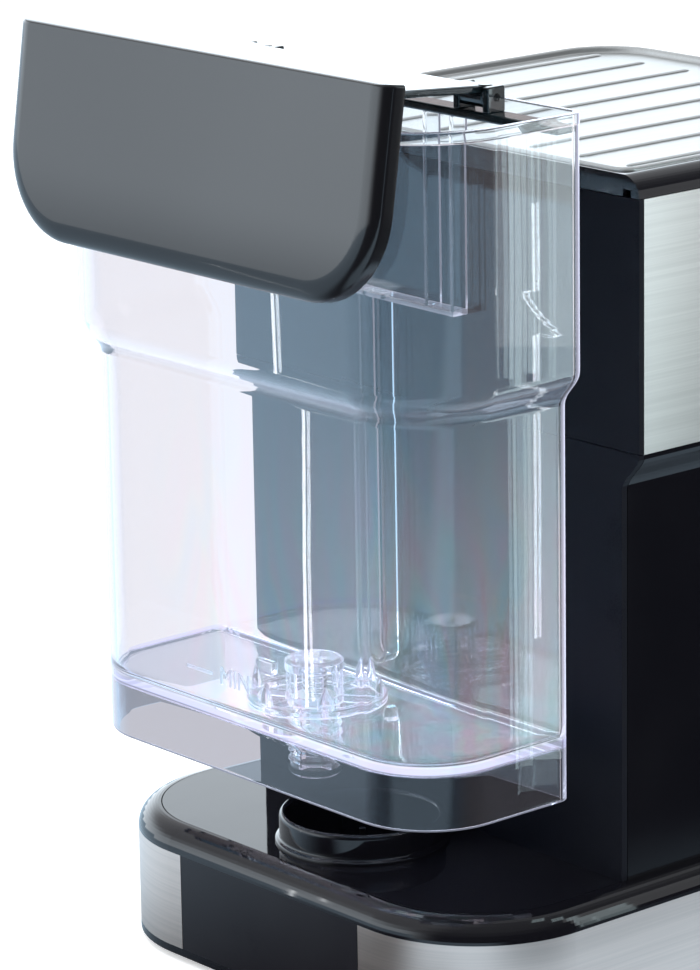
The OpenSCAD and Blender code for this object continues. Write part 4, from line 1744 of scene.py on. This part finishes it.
@dataclass
class Tank(Assembly):
    """Clear water tank with its skirt, spout, inner guides and level mark."""

    half: float = 94.4
    depth: float = 69.0
    back_radius: float = 30.0
    front_radius: float = 5.0
    wall: float = 2.5
    flare: float = 7.5
    flare_z: float = 140.0
    flare_rise: float = 13.0
    height: float = 241.0
    lip: float = 1.0
    floor_z: float = 22.0
    drop: float = 4.0
    spout_radius: float = 8.8
    bore: float = 6.0
    arch: Flat = (36.0, 15.0)
    guide_t: float = 2.0
    guide_d: float = 7.0
    guide_z: float = 164.0
    posts: Flat = (31.0, 44.5)
    post_top: float = 233.5
    channel: float = 5.5
    channel_foot: float = 36.5
    channel_middle: float = 120.0
    thread_pitch: float = 3.4
    mark_rise: float = 12.6
    mark_tick: Flat = (18.0, 32.0)
    word_start: float = 14.0
    word_height: float = 9.5
    foot: Vector = field(init=False)

    def build(self) -> None:
        """Builds the tank and its level mark and dresses the seal."""
        box = Extent.of("tank")
        self.foot = Vector((0.0, box.low.y, box.low.z + self.drop))
        self.shell()
        self.level_mark()
        self.dress({"tank_ring": RUBBER, "hinge_pin": DEEP_BLACK})

    def ring(self, z: float, step: float, inset: float) -> list[Point]:
        """Gives the tank's outline at a height.

        Args:
            z: Height above the hem.
            step: How far the flare has widened the tank.
            inset: Distance inward from the outer face.

        Returns:
            The ring's points.
        """
        front = max(inset, 0.0)
        outline = round_plan(
            self.half + step - inset,
            front,
            self.depth + step - inset,
            max(self.front_radius - inset, 0.8),
            max(self.back_radius + step - inset, 1.0),
            12,
        )
        return level(((x, y + self.foot.y) for x, y in outline), z + self.foot.z)

    def curve(self, inset: float) -> list[tuple[float, float, float]]:
        """Gives height, widening and inset along the flare, from below.

        Args:
            inset: Distance inward from the outer face.

        Returns:
            The stations.
        """
        steps = 8
        return [
            (
                self.flare_z + self.flare_rise * i / steps,
                self.flare * (1 - math.cos(math.pi * i / steps)) / 2,
                inset,
            )
            for i in range(steps + 1)
        ]

    def stations(self) -> list[tuple[float, float, float]]:
        """Gives height, widening and inset up the inside, over the rim, down the outside and under the floor.

        Returns:
            The stations, in order.
        """
        w, f, top, z0 = self.wall, self.flare, self.height, self.floor_z
        inside = [
            (z0, 0, w + 4.0), (z0 + 0.15, 0, w + 2.4), (z0 + 0.9, 0, w + 0.9), (z0 + 2.4, 0, w + 0.15),
            (z0 + 4.5, 0, w), (90, 0, w), *self.curve(w), (195, f, w),
        ]
        rim = [
            (top - 0.6, f, w), (top - 0.15, f, w - 0.35), (top, f, w - 0.9), (top, f, 0.5 - self.lip),
            (top - 0.2, f, 0.1 - self.lip), (top - 0.7, f, -self.lip), (top - 3.3, f, -self.lip),
            (top - 3.9, f, 0.3 - self.lip), (top - 4.2, f, 0.0),
        ]
        outside = [(195, f, 0), *self.curve(0.0)[::-1], (90, 0, 0), (z0 + 0.6, 0, 0), (z0 - w - 0.2, 0, 0)]
        skirt = [
            (0.5, 0, 0), (0.1, 0, 0.3), (0, 0, 0.8), (0, 0, w - 0.8), (0.4, 0, w - 0.1), (1.0, 0, w),
            (z0 - w - 2.0, 0, w), (z0 - w - 0.6, 0, w + 0.4), (z0 - w, 0, w + 1.6),
        ]
        return inside + rim + outside + skirt

    def shell(self) -> None:
        """Builds the walls, floor and skirt, then joins guides and spout to them."""
        rings = [self.ring(z, step, inset) for z, step, inset in self.stations()]
        made = Shape().loft(rings).make("clear_tank_shell")
        combine(made, self.shelf(), Join.ADD)
        combine(made, self.guides(), Join.ADD)
        combine(made, self.bore_tool(), Join.CUT)
        combine(made, self.arch_tool(), Join.CUT)
        self.tint(made.data)
        self.hang(made, "tank", "clear_tank", (), ["tank"], 38.0)

    def tint(self, data: bpy.types.Mesh) -> None:
        """Gives the walls, the skirt and the floor their own clear finishes, and the band between them a
        violet tint for the floor seen edge-on with a strong painted glow for light carried along the floor's
        edge.

        Args:
            data: The tank's mesh.
        """
        data.materials.clear()
        for finish in (TANK_WALL, TANK_SKIRT, TANK_FLOOR, TANK_PAINTED_GLOW_BAND):
            data.materials.append(finish.material())
        top, under = self.floor_z, self.floor_z - self.wall
        for face in data.polygons:
            x, y, z = (face.center / MM) - self.foot
            near_spout = math.hypot(x, y - self.depth / 2) < self.spout_radius + 1
            index = 0
            if z < under - 0.1 and not near_spout:
                index = 1
            elif under - 0.5 < z < top + 0.5 and abs(face.normal.z) > 0.7:
                index = 2
            elif under - 0.3 < z < top + 0.7 and not near_spout:
                index = 3
            face.material_index = index

    def shelf(self) -> Shape:
        """Returns the shelf across the front wall that the guides stand on."""
        half, z = self.posts[1] + self.guide_t, self.guide_z
        low, high = (-half, self.wall - 0.3, z), (half, self.wall + self.guide_d, z + self.guide_t)
        return Shape().block(low, high, 0.5).shift((0, self.foot.y, self.foot.z))

    def guides(self) -> Shape:
        """Returns the posts, the middle channel, the spout and the small floor marks."""
        back = self.wall + self.guide_d - 0.3
        tool = Shape()
        for side in (-1, 1):
            for x in self.posts:
                low, high = sorted((side * x, side * (x + self.guide_t)))
                tool.block(
                    (low, self.wall - 0.3, self.guide_z + 1.2), (high, back, self.post_top), 0.45
                )
        tool.loft(self.channel_rings(back))
        tool.lathe(self.spout_profile(), (0, self.depth / 2, 0), steps=64)
        middle, floor = self.depth / 2, self.floor_z
        tool.block((32, middle - 10, floor - 0.4), (42, middle - 7.2, floor + 4.8), 0.8, 3)
        tool.lathe(
            ((2.6, -0.4), (2.9, 0.2), (2.6, 3.4), (1.9, 4.6), (0.8, 5.0), (0, 5.0)),
            (-34, middle - 4, floor),
            steps=24,
        )
        return tool.shift((0, self.foot.y, self.foot.z))

    def channel_rings(self, back: float) -> list[list[Point]]:
        """Bends a rib into the U of the middle channel.

        Args:
            back: Depth of the rib's free edge.

        Returns:
            The rib's sections, from one end to the other.
        """
        half, foot = self.channel, self.channel_foot
        top = self.guide_z + 0.8
        bend = [
            (half * math.cos(a), foot - half * math.sin(a)) for a in (math.pi * i / 12 for i in range(1, 12))
        ]
        path = [(half, top), (half, self.channel_middle), (half, foot), *bend]
        path += [(-half, foot), (-half, self.channel_middle), (-half, top)]
        front = self.wall - 0.3
        section = (
            (-1.0, front), (1.0, front), (1.0, back - 0.5), (0.6, back), (-0.6, back), (-1.0, back - 0.5),
        )
        rings = []
        for i, (x, z) in enumerate(path):
            before, after = path[max(i - 1, 0)], path[min(i + 1, len(path) - 1)]
            along = Vector((after[0] - before[0], after[1] - before[1])).normalized()
            side = Vector((-along.y, along.x))
            rings.append([(x + side.x * a, y, z + side.y * a) for a, y in section])
        return rings

    def spout_profile(self) -> list[Flat]:
        """Returns radius and height along the spout with its four thread rings."""
        r, top = self.spout_radius, self.floor_z - self.wall + 0.4
        profile = [(0, -self.drop), (r - 0.6, -self.drop), (r, -self.drop + 0.5)]
        for i in range(4):
            z = 1.0 + self.thread_pitch * i
            profile += [(r, z - 0.2), (r + 0.75, z + 0.35), (r + 0.75, z + 0.85), (r, z + 1.4)]
        return [*profile, (r, top), (0, top)]

    def bore_tool(self) -> Shape:
        """Returns the rod that bores the spout."""
        return Shape().lathe(
            ((self.bore, -1.0), (self.bore, self.floor_z + self.drop + 1.0)),
            (0, self.foot.y + self.depth / 2, self.foot.z - self.drop),
            steps=64,
        )

    def arch_tool(self) -> Shape:
        """Returns the prism that opens the skirt's front for the collar."""
        half, rise = self.arch
        outline = [(x, z + self.foot.z) for x, z in round_plan(half, -5.0, rise, 0.5, 4.0)]
        ends = (self.foot.y - 2, self.foot.y + self.wall + 1.2)
        return Shape().loft([upright(outline, y) for y in ends])

    def level_mark(self) -> None:
        """Builds the low-level tick and its word, moulded on the inside of the back wall."""
        words = bpy.data.curves.new("mark_words", "FONT")
        words.body, words.size, words.extrude = "MIN", self.word_height, 0.22
        words.align_x, words.align_y = "LEFT", "CENTER"
        holder = bpy.data.objects.new("mark_words", words)
        bpy.context.scene.collection.objects.link(holder)
        graph = bpy.context.evaluated_depsgraph_get()
        data = bpy.data.meshes.new_from_object(holder.evaluated_get(graph))
        bpy.data.objects.remove(holder)
        inner = self.foot.y + self.depth - self.wall - 0.25
        centre_z = self.foot.z + self.floor_z + self.mark_rise
        turned = Matrix.Rotation(math.pi, 4, "Z") @ Matrix.Rotation(math.pi / 2, 4, "X")
        placed = Matrix.Translation((self.word_start, inner, centre_z))
        data.transform(Matrix.Diagonal((MM, MM, MM, 1)) @ placed @ turned)
        made = bpy.data.objects.new("level_mark", data)
        bpy.context.scene.collection.objects.link(made)
        x0, x1 = self.mark_tick
        tick = Shape().block((x0, inner - 0.3, centre_z - 0.6), (x1, inner + 0.2, centre_z + 0.6), 0.1, 1)
        merge(made, [tick.make("tick")])
        made.data.materials.clear()
        self.hang(made, "tank", "clear_tank", [MARK_FROST], (), 30.0)


@dataclass
class Valve(Assembly):
    """Outlet valve on the tank's floor: cage, poppet and spring."""

    ring_radius: float = 22.0
    cup_radius: float = 10.5
    cup_height: float = 16.0
    petal_height: float = 11.0
    petals: int = 6
    first_petal: float = 30.0
    travel: float = 3.0
    wire: float = 0.45
    turns: float = 5.5

    def build(self) -> None:
        """Builds the cage and the spring and dresses the poppet."""
        self.dress({"valve_poppet": WHITE_PLASTIC})
        self.cage()
        self.spring()

    def cage(self) -> None:
        """Builds the cage: a ring of petals round a windowed cup."""
        box = Extent.of("valve_cage")
        x, y, z = box.middle.x, box.middle.y, box.low.z
        r, cup, top = self.ring_radius, self.cup_radius, self.cup_height
        cage = Shape().lathe(
            (
                (r - 2, 0.4), (r - 1.6, 0), (r + 1.6, 0), (r + 2, 0.4), (r + 2, 2.4), (r + 1.4, 3),
                (r - 1.4, 3), (r - 2, 2.4),
            ),
            (x, y, z),
            steps=72,
            looped=True,
        )
        cage.lathe(
            ((9.0, 0), (cup, 0), (cup, 2.7), (cup - 0.2, 3.0), (9.2, 3.0), (9.0, 2.7)),
            (x, y, z),
            looped=True,
        )
        cage.lathe(
            (
                (2.1, top - 1.6), (8.8, top - 1.6), (9.0, top - 4), (cup, top - 4), (cup, top - 1),
                (cup - 0.9, top - 0.2), (cup - 2, top), (2.1, top),
            ),
            (x, y, z),
            looped=True,
        )
        made = cage.make("valve_basket")
        made.data.materials.append(CAGE_CLEAR.material())
        petal = Shape()
        outline = []
        for share, half, thick in (
            (0.0, 3.0, 1.5), (0.25, 3.1, 1.4), (0.5, 2.6, 1.2), (0.72, 1.7, 1.0), (0.88, 1.0, 0.75),
            (1.0, 0.4, 0.4),
        ):
            height = 2.6 + share * (self.petal_height - 2.6)
            ring = [
                (r + thick * math.cos(turn), half * math.sin(turn), height)
                for turn in (math.tau * i / 16 for i in range(16))
            ]
            outline.append(ring)
        petal.loft(outline)
        petal.block((cup - 0.6, -1.0, 0.3), (r - 1.4, 1.0, 2.9), 0.3)
        bar = Shape().block((9.0, -1.4, 2.9), (cup - 0.1, 1.4, top - 3.9), 0.3)
        around = [
            Layout.circle(
                name, self.petals, metres(x, y, z), Axis.Z, self.first_petal, CAGE_CLEAR
            ).run(shape.make(part))
            for name, shape, part in (("petal_ring", petal, "petals"), ("cup_bars", bar, "bars"))
        ]
        merge(made, around)
        self.hang(made, "tank", "clear_tank", [CAGE_CLEAR], ["valve_cage"], 40.0)

    def spring(self) -> None:
        """Winds the spring that holds the poppet down."""
        box = Extent.of("valve_spring")
        wire = self.wire
        reach = box.high.x - box.middle.x - wire
        made = Layout.coil(
            "spring_coil",
            self.turns,
            reach * MM,
            (box.high.z - box.low.z - 2 * wire) * MM,
            wire * MM,
            metres(box.middle.x, box.middle.y, box.low.z + wire),
            BRIGHT_STEEL,
        ).run(Shape().block((0, 0, 0), (1, 1, 1), 0).make("valve_coil"))
        self.hang(made, "tank", "bright_steel", [BRIGHT_STEEL], ["valve_spring"], 60.0)
        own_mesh(made)


@dataclass
class Lid(Assembly):
    """Tank lid: hinge frame, top plate and the deep back panel."""

    angle: float = 8.5
    knuckle: float = 4.0
    knuckle_x: float = 52.0
    knuckle_length: float = 11.0
    ear: float = 3.0
    pin_inset: float = 7.0
    gap: float = 0.3
    plate_t: float = 3.0
    spread: float = 0.5
    panel_depth: float = 8.5
    panel_height: float = 75.0
    corner: float = 33.0
    roll: float = 7.5
    roll_spans: int = 7
    roll_depth: float = 0.62
    pivot: Point = field(init=False)

    def build(self) -> None:
        """Builds the hinge frame, plate and panel."""
        pins = Extent.of("hinge_pin").middle
        self.pivot = (0.0, pins.y, pins.z)
        frame = Extent.of("hinge_frame")
        self.hinge_frame(frame)
        self.plate()
        self.panel()

    def hinge_frame(self, box: Extent) -> None:
        """Builds the bar across the tank's mouth with the fixed knuckles.

        Args:
            box: Box of the frame's node.
        """
        y, z = self.pivot[1], self.pivot[2]
        corner = (box.high.x, box.high.y, box.low.z + self.ear)
        bar = Shape().block((box.low.x, box.low.y, box.low.z), corner, 0.8, 3)
        outer = self.knuckle_x + self.knuckle_length + self.gap
        inner = self.knuckle_x - self.ear - self.gap
        r = self.knuckle
        for side in (-1, 1):
            for start in (outer, inner):
                low, high = sorted((side * start, side * (start + self.ear)))
                bar.block((low, y - r, z - 5.2), (high, y + r, z + r - 0.2), 0.6, 3)
        self.hang(bar.make("hinge_bridge"), "tank", "smoked", [SMOKED], ["hinge_frame"])

    def plate(self) -> None:
        """Builds the top plate, drawn closed and then turned open."""
        y, z = self.pivot[1], self.pivot[2]
        half = self.knuckle_x + self.knuckle_length + 0.2
        r, t = self.knuckle, self.plate_t
        z1 = z + r
        back = y - self.pin_inset + self.panel_y1() - 2.5
        front = y + r + 0.3
        rings = []
        for i, h in (
            (0.8, z1 - t), (0.2, z1 - t + 0.25), (0.0, z1 - t + 0.8), (0.0, z1 - 0.8), (0.2, z1 - 0.25),
            (0.8, z1),
        ):
            outline = round_plan(half - i, front + i, back - i * 0.2, 3.0, 1.0)
            rings.append([(x * (1 + self.spread * (y - front) / (back - front)), y, h) for x, y in outline])
        made = Shape().loft(rings)
        for side in (-1, 1):
            low, high = sorted((side * self.knuckle_x, side * (self.knuckle_x + self.knuckle_length)))
            barrel = ((r - 0.4, 0), (r, 0.4), (r, high - low - 0.4), (r - 0.4, high - low))
            made.lathe(barrel, (low, y, z), Axis.X, 36)
            made.block((low + 0.2, y, z1 - t), (high - 0.2, y + r + 2, z1 - 0.02), 0.5)
        made.turn(self.pivot, self.angle)
        self.hang(made.make("lid_top"), "lid", "smoked", [SMOKED], ["lid_plate"])

    def panel_y1(self) -> float:
        """Returns the panel's outer face, measured from the tank's front wall."""
        return Tank.depth + Tank.flare + self.gap + self.panel_depth

    def panel(self) -> None:
        """Builds the back panel: a dished shell with a rolled edge."""
        y_face = self.pivot[1] - self.pin_inset + self.panel_y1()
        z1 = self.pivot[2] + self.knuckle + 2.5
        z0 = z1 - self.panel_height
        half = Extent.of("lid_panel").high.x
        steps, r = self.roll_spans, self.roll
        edge = [
            (r * (1 - math.sin(a)), r * (1 - math.cos(a)) * self.roll_depth)
            for a in (math.pi / 2 * i / steps for i in range(steps + 1))
        ]
        edge += [
            (0.0, self.panel_depth), (2.3, self.panel_depth), (2.5, 6.0), (3.4, 4.0), (5.0, 3.0), (8.0, 2.6),
        ]
        rings = []
        for inset, drop in edge:
            top = z1 - min(inset * 0.15, 2.5)
            outline = round_plan(half - inset, z0 + inset, top, self.corner - inset, 1.2, 14)
            rings.append(upright(outline, y_face - drop))
        made = Shape().loft(rings).turn(self.pivot, self.angle)
        self.hang(made.make("lid_apron"), "lid", "lid_grey", [LID_GREY], ["lid_panel"], 60.0)


# ---------------------------------------------------------------- studio


@dataclass(frozen=True)
class SoftBox:
    """A rectangular light: its place, the point it faces and its size in metres, and its brightness."""

    name: str
    place: Point
    aim: Point
    size: Flat
    glow: float
    mirrored: bool = True
    tone: Colour = (0.96, 0.98, 1.0)

    def hang(self) -> None:
        """Hangs the light, which only polished surfaces may show."""
        data = bpy.data.lights.new(self.name, "AREA")
        data.shape, data.size, data.size_y = "RECTANGLE", self.size[0], self.size[1]
        data.energy = self.glow * math.pi * self.size[0] * self.size[1]
        data.color = self.tone
        made = bpy.data.objects.new(self.name, data)
        made.location = self.place
        made.visible_camera, made.visible_glossy = False, self.mirrored
        made.rotation_mode = "QUATERNION"
        made.rotation_quaternion = (Vector(self.aim) - Vector(self.place)).to_track_quat("-Z", "Y")
        bpy.context.scene.collection.objects.link(made)


@dataclass
class Studio:
    """Floor, sky, lights and camera, in metres.

    Polished pieces and clear plastic meet other colours than the eye does: the dim and bright tones are
    what surfaces mirror, and the behind and beside tones are what is seen through the tank.
    A streak is its depth, the height of its foot, its width and its brightness.
    """

    eye: Point = (-1.1749, 1.0898, 0.5951)
    right: Point = (-0.6529, -0.7573, -0.0164)
    up: Point = (0.1853, -0.1808, 0.9659)
    lens: float = 168.8
    behind: Colour = (0.96, 0.87, 0.88)
    beside: Colour = (0.62, 0.95, 1.25)
    sky_soft: Colour = (0.5, 0.51, 0.53)
    sky_bright: Colour = (2.7, 3.0, 3.25)
    sky_plain: Colour = (0.9, 0.93, 0.97)
    floor_dim: Colour = (0.015, 0.015, 0.018)
    floor_bright: Colour = (0.9, 1.2, 1.46)
    centre: Point = (0.0, 0.02, 0.16)
    streak_x: float = -0.25
    streak_tone: Colour = (0.76, 0.95, 1.0)
    streak_height: float = 0.5
    streaks: tuple[tuple[float, float, float, float], ...] = (
        (-0.066, 0.03, 0.016, 2.5),
        (-0.053, 0.03, 0.006, 2.0),
        (-0.0475, 0.03, 0.0014, 3.4),
        (-0.044, 0.19, 0.005, 2.8),
        (-0.0365, 0.18, 0.005, 3.4),
        (-0.031, 0.19, 0.002, 3.4),
        (-0.081, 0.08, 0.006, 3.0),
    )

    def build(self) -> None:
        """Sets the stage."""
        self.camera()
        self.sky()
        self.floor()
        self.lights()
        bpy.context.scene.view_settings.view_transform = "Standard"

    def camera(self) -> None:
        """Adds the camera."""
        data = bpy.data.cameras.new("camera")
        data.lens, data.sensor_width, data.clip_start, data.clip_end = self.lens, 36.0, 0.05, 50.0
        made = bpy.data.objects.new("camera", data)
        across = Vector(self.right).normalized()
        above = (Vector(self.up) - across * across.dot(Vector(self.up))).normalized()
        turned = Matrix((across, above, across.cross(above))).transposed()
        made.matrix_world = Matrix.Translation(self.eye) @ turned.to_4x4()
        bpy.context.scene.collection.objects.link(made)
        bpy.context.scene.camera = made

    def sky(self) -> None:
        """Makes a sky that is white behind things and bright on one side only in reflections."""
        world = bpy.data.worlds.new("sky")
        world.use_nodes = True
        bpy.context.scene.world = world
        tree = ShaderTree(world.node_tree)
        toward = tree.node("ShaderNodeTexCoord").outputs["Generated"]
        parts = tree.node("ShaderNodeSeparateXYZ", {}, {0: toward})
        side = Value(tree, parts.outputs["X"]).step(-0.35, 0.3)
        low = 1 - Value(tree, parts.outputs["Z"]).step(0.2, 0.5)
        high = Value(tree, parts.outputs["Z"]).step(0.2, 0.9)
        glow = tree.mix(side * low, self.sky_plain, self.sky_bright)
        glow = tree.mix(side * 0.96 + high * 0.35 + 0.03, (0.0, 0.0, 0.0), glow)
        path = tree.node("ShaderNodeLightPath")
        seen = Value(tree, path.outputs["Is Camera Ray"])
        through = Value(tree, path.outputs["Is Transmission Ray"])
        soft = Value(tree, path.outputs["Is Diffuse Ray"])
        colour = tree.mix(soft, glow, self.sky_soft)
        clear = tree.mix(Value(tree, parts.outputs["Y"]).step(-0.1, 0.1), self.behind, self.beside)
        colour = tree.mix(through, colour, clear)
        colour = tree.mix(seen, colour, (1.0, 1.0, 1.0))
        back = tree.node("ShaderNodeBackground", {}, {"Color": colour, "Strength": 1.0})
        tree.node("ShaderNodeOutputWorld", {}, {"Surface": back.outputs[0]})

    def floor(self) -> None:
        """Lays a plain pale floor, mirrored bright behind the machine and in a strip along its side."""
        made = Shape().block((-6000, -6000, -40), (6000, 6000, 0), 0).make("floor")
        stuff = bpy.data.materials.new("pale_floor")
        stuff.use_nodes = True
        tree = ShaderTree(stuff.node_tree)
        cloud = tree.noise(3.0, detail=2.0)
        pale = tree.principled(
            {
                "Base Color": tree.mix(cloud, (0.86, 0.86, 0.86), (0.88, 0.88, 0.88)),
                "Roughness": 0.8,
                "Specular IOR Level": 0.1,
                "Emission Color": (1.0, 1.0, 1.0),
                "Emission Strength": 0.45,
            }
        )
        far = tree.axis("Y").step(0.15, 0.22)
        corner = (1 - tree.axis("X").step(-0.1, -0.02)) * far * (1 - tree.axis("Y").step(0.4, 0.6))
        strip = tree.axis("X").step(-0.24, -0.17) * (1 - tree.axis("X").step(-0.112, -0.108)) * (1 - far)
        lit = tree.axis("X").step(0.0, 0.2) + corner + strip * 0.9
        mirrored = self.glowing(tree, tree.mix(lit, self.floor_dim, self.floor_bright))
        clear = self.glowing(tree, tree.mix(tree.axis("Y").step(0.0, 0.2), self.behind, self.beside))
        path = tree.node("ShaderNodeLightPath").outputs
        seen = tree.either(path["Is Glossy Ray"], pale, mirrored)
        tree.surface(tree.either(path["Is Transmission Ray"], seen, clear))
        made.data.materials.append(stuff)

    @staticmethod
    def glowing(tree: ShaderTree, colour: bpy.types.NodeSocket) -> bpy.types.NodeSocket:
        """Makes a shader that only glows.

        Args:
            tree: Tree to build in.
            colour: Colour of the glow.

        Returns:
            The shader's output.
        """
        return tree.node("ShaderNodeEmission", {}, {"Color": colour, "Strength": 1.0}).outputs[0]

    def lights(self) -> None:
        """Hangs the soft boxes and the narrow lights that draw upright lines on clear plastic."""
        boxes = [
            SoftBox("roof_light", (0.3, 0.2, 1.9), self.centre, (1.6, 1.6), 3.2, mirrored=False),
            SoftBox("left_light", (1.3, 1.2, 1.0), self.centre, (1.0, 1.2), 4.2, mirrored=False),
            SoftBox("right_light", (-1.8, -0.5, 0.7), self.centre, (1.0, 0.9), 3.0, mirrored=False),
            SoftBox("steel_light", (-0.62, -0.66, 0.32), (-0.1, -0.1, 0.24), (0.55, 0.6), 0.92),
            SoftBox("line_light", (0.25, 0.377, 0.1), (-0.036, 0.137, 0.1), (0.0014, 0.2), 14.0),
        ]
        for number, (y, low, width, glow) in enumerate(self.streaks):
            z = low + self.streak_height / 2
            place, aim, size = (self.streak_x, y, z), (-0.094, 0.09, z), (width, self.streak_height)
            boxes.append(SoftBox(f"streak_light_{number}", place, aim, size, glow, tone=self.streak_tone))
        for box in boxes:
            box.hang()


def main() -> None:
    """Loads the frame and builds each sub-assembly."""
    logging.basicConfig(level=logging.INFO, format="%(name)s: %(message)s", stream=sys.stdout)
    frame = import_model()
    Assembly.nodes = frame["nodes"]
    Studio().build()
    assemblies = (
        Base(), Inlet(), Tray(), Casing(), Works(), BrewGroup(), Buttons(), Tank(), Valve(), Lid(),
    )
    for assembly in assemblies:
        assembly.build()
        LOG.info("%s is built", type(assembly).__name__)
    bpy.context.view_layer.update()


if __name__ == "__main__":
    main()
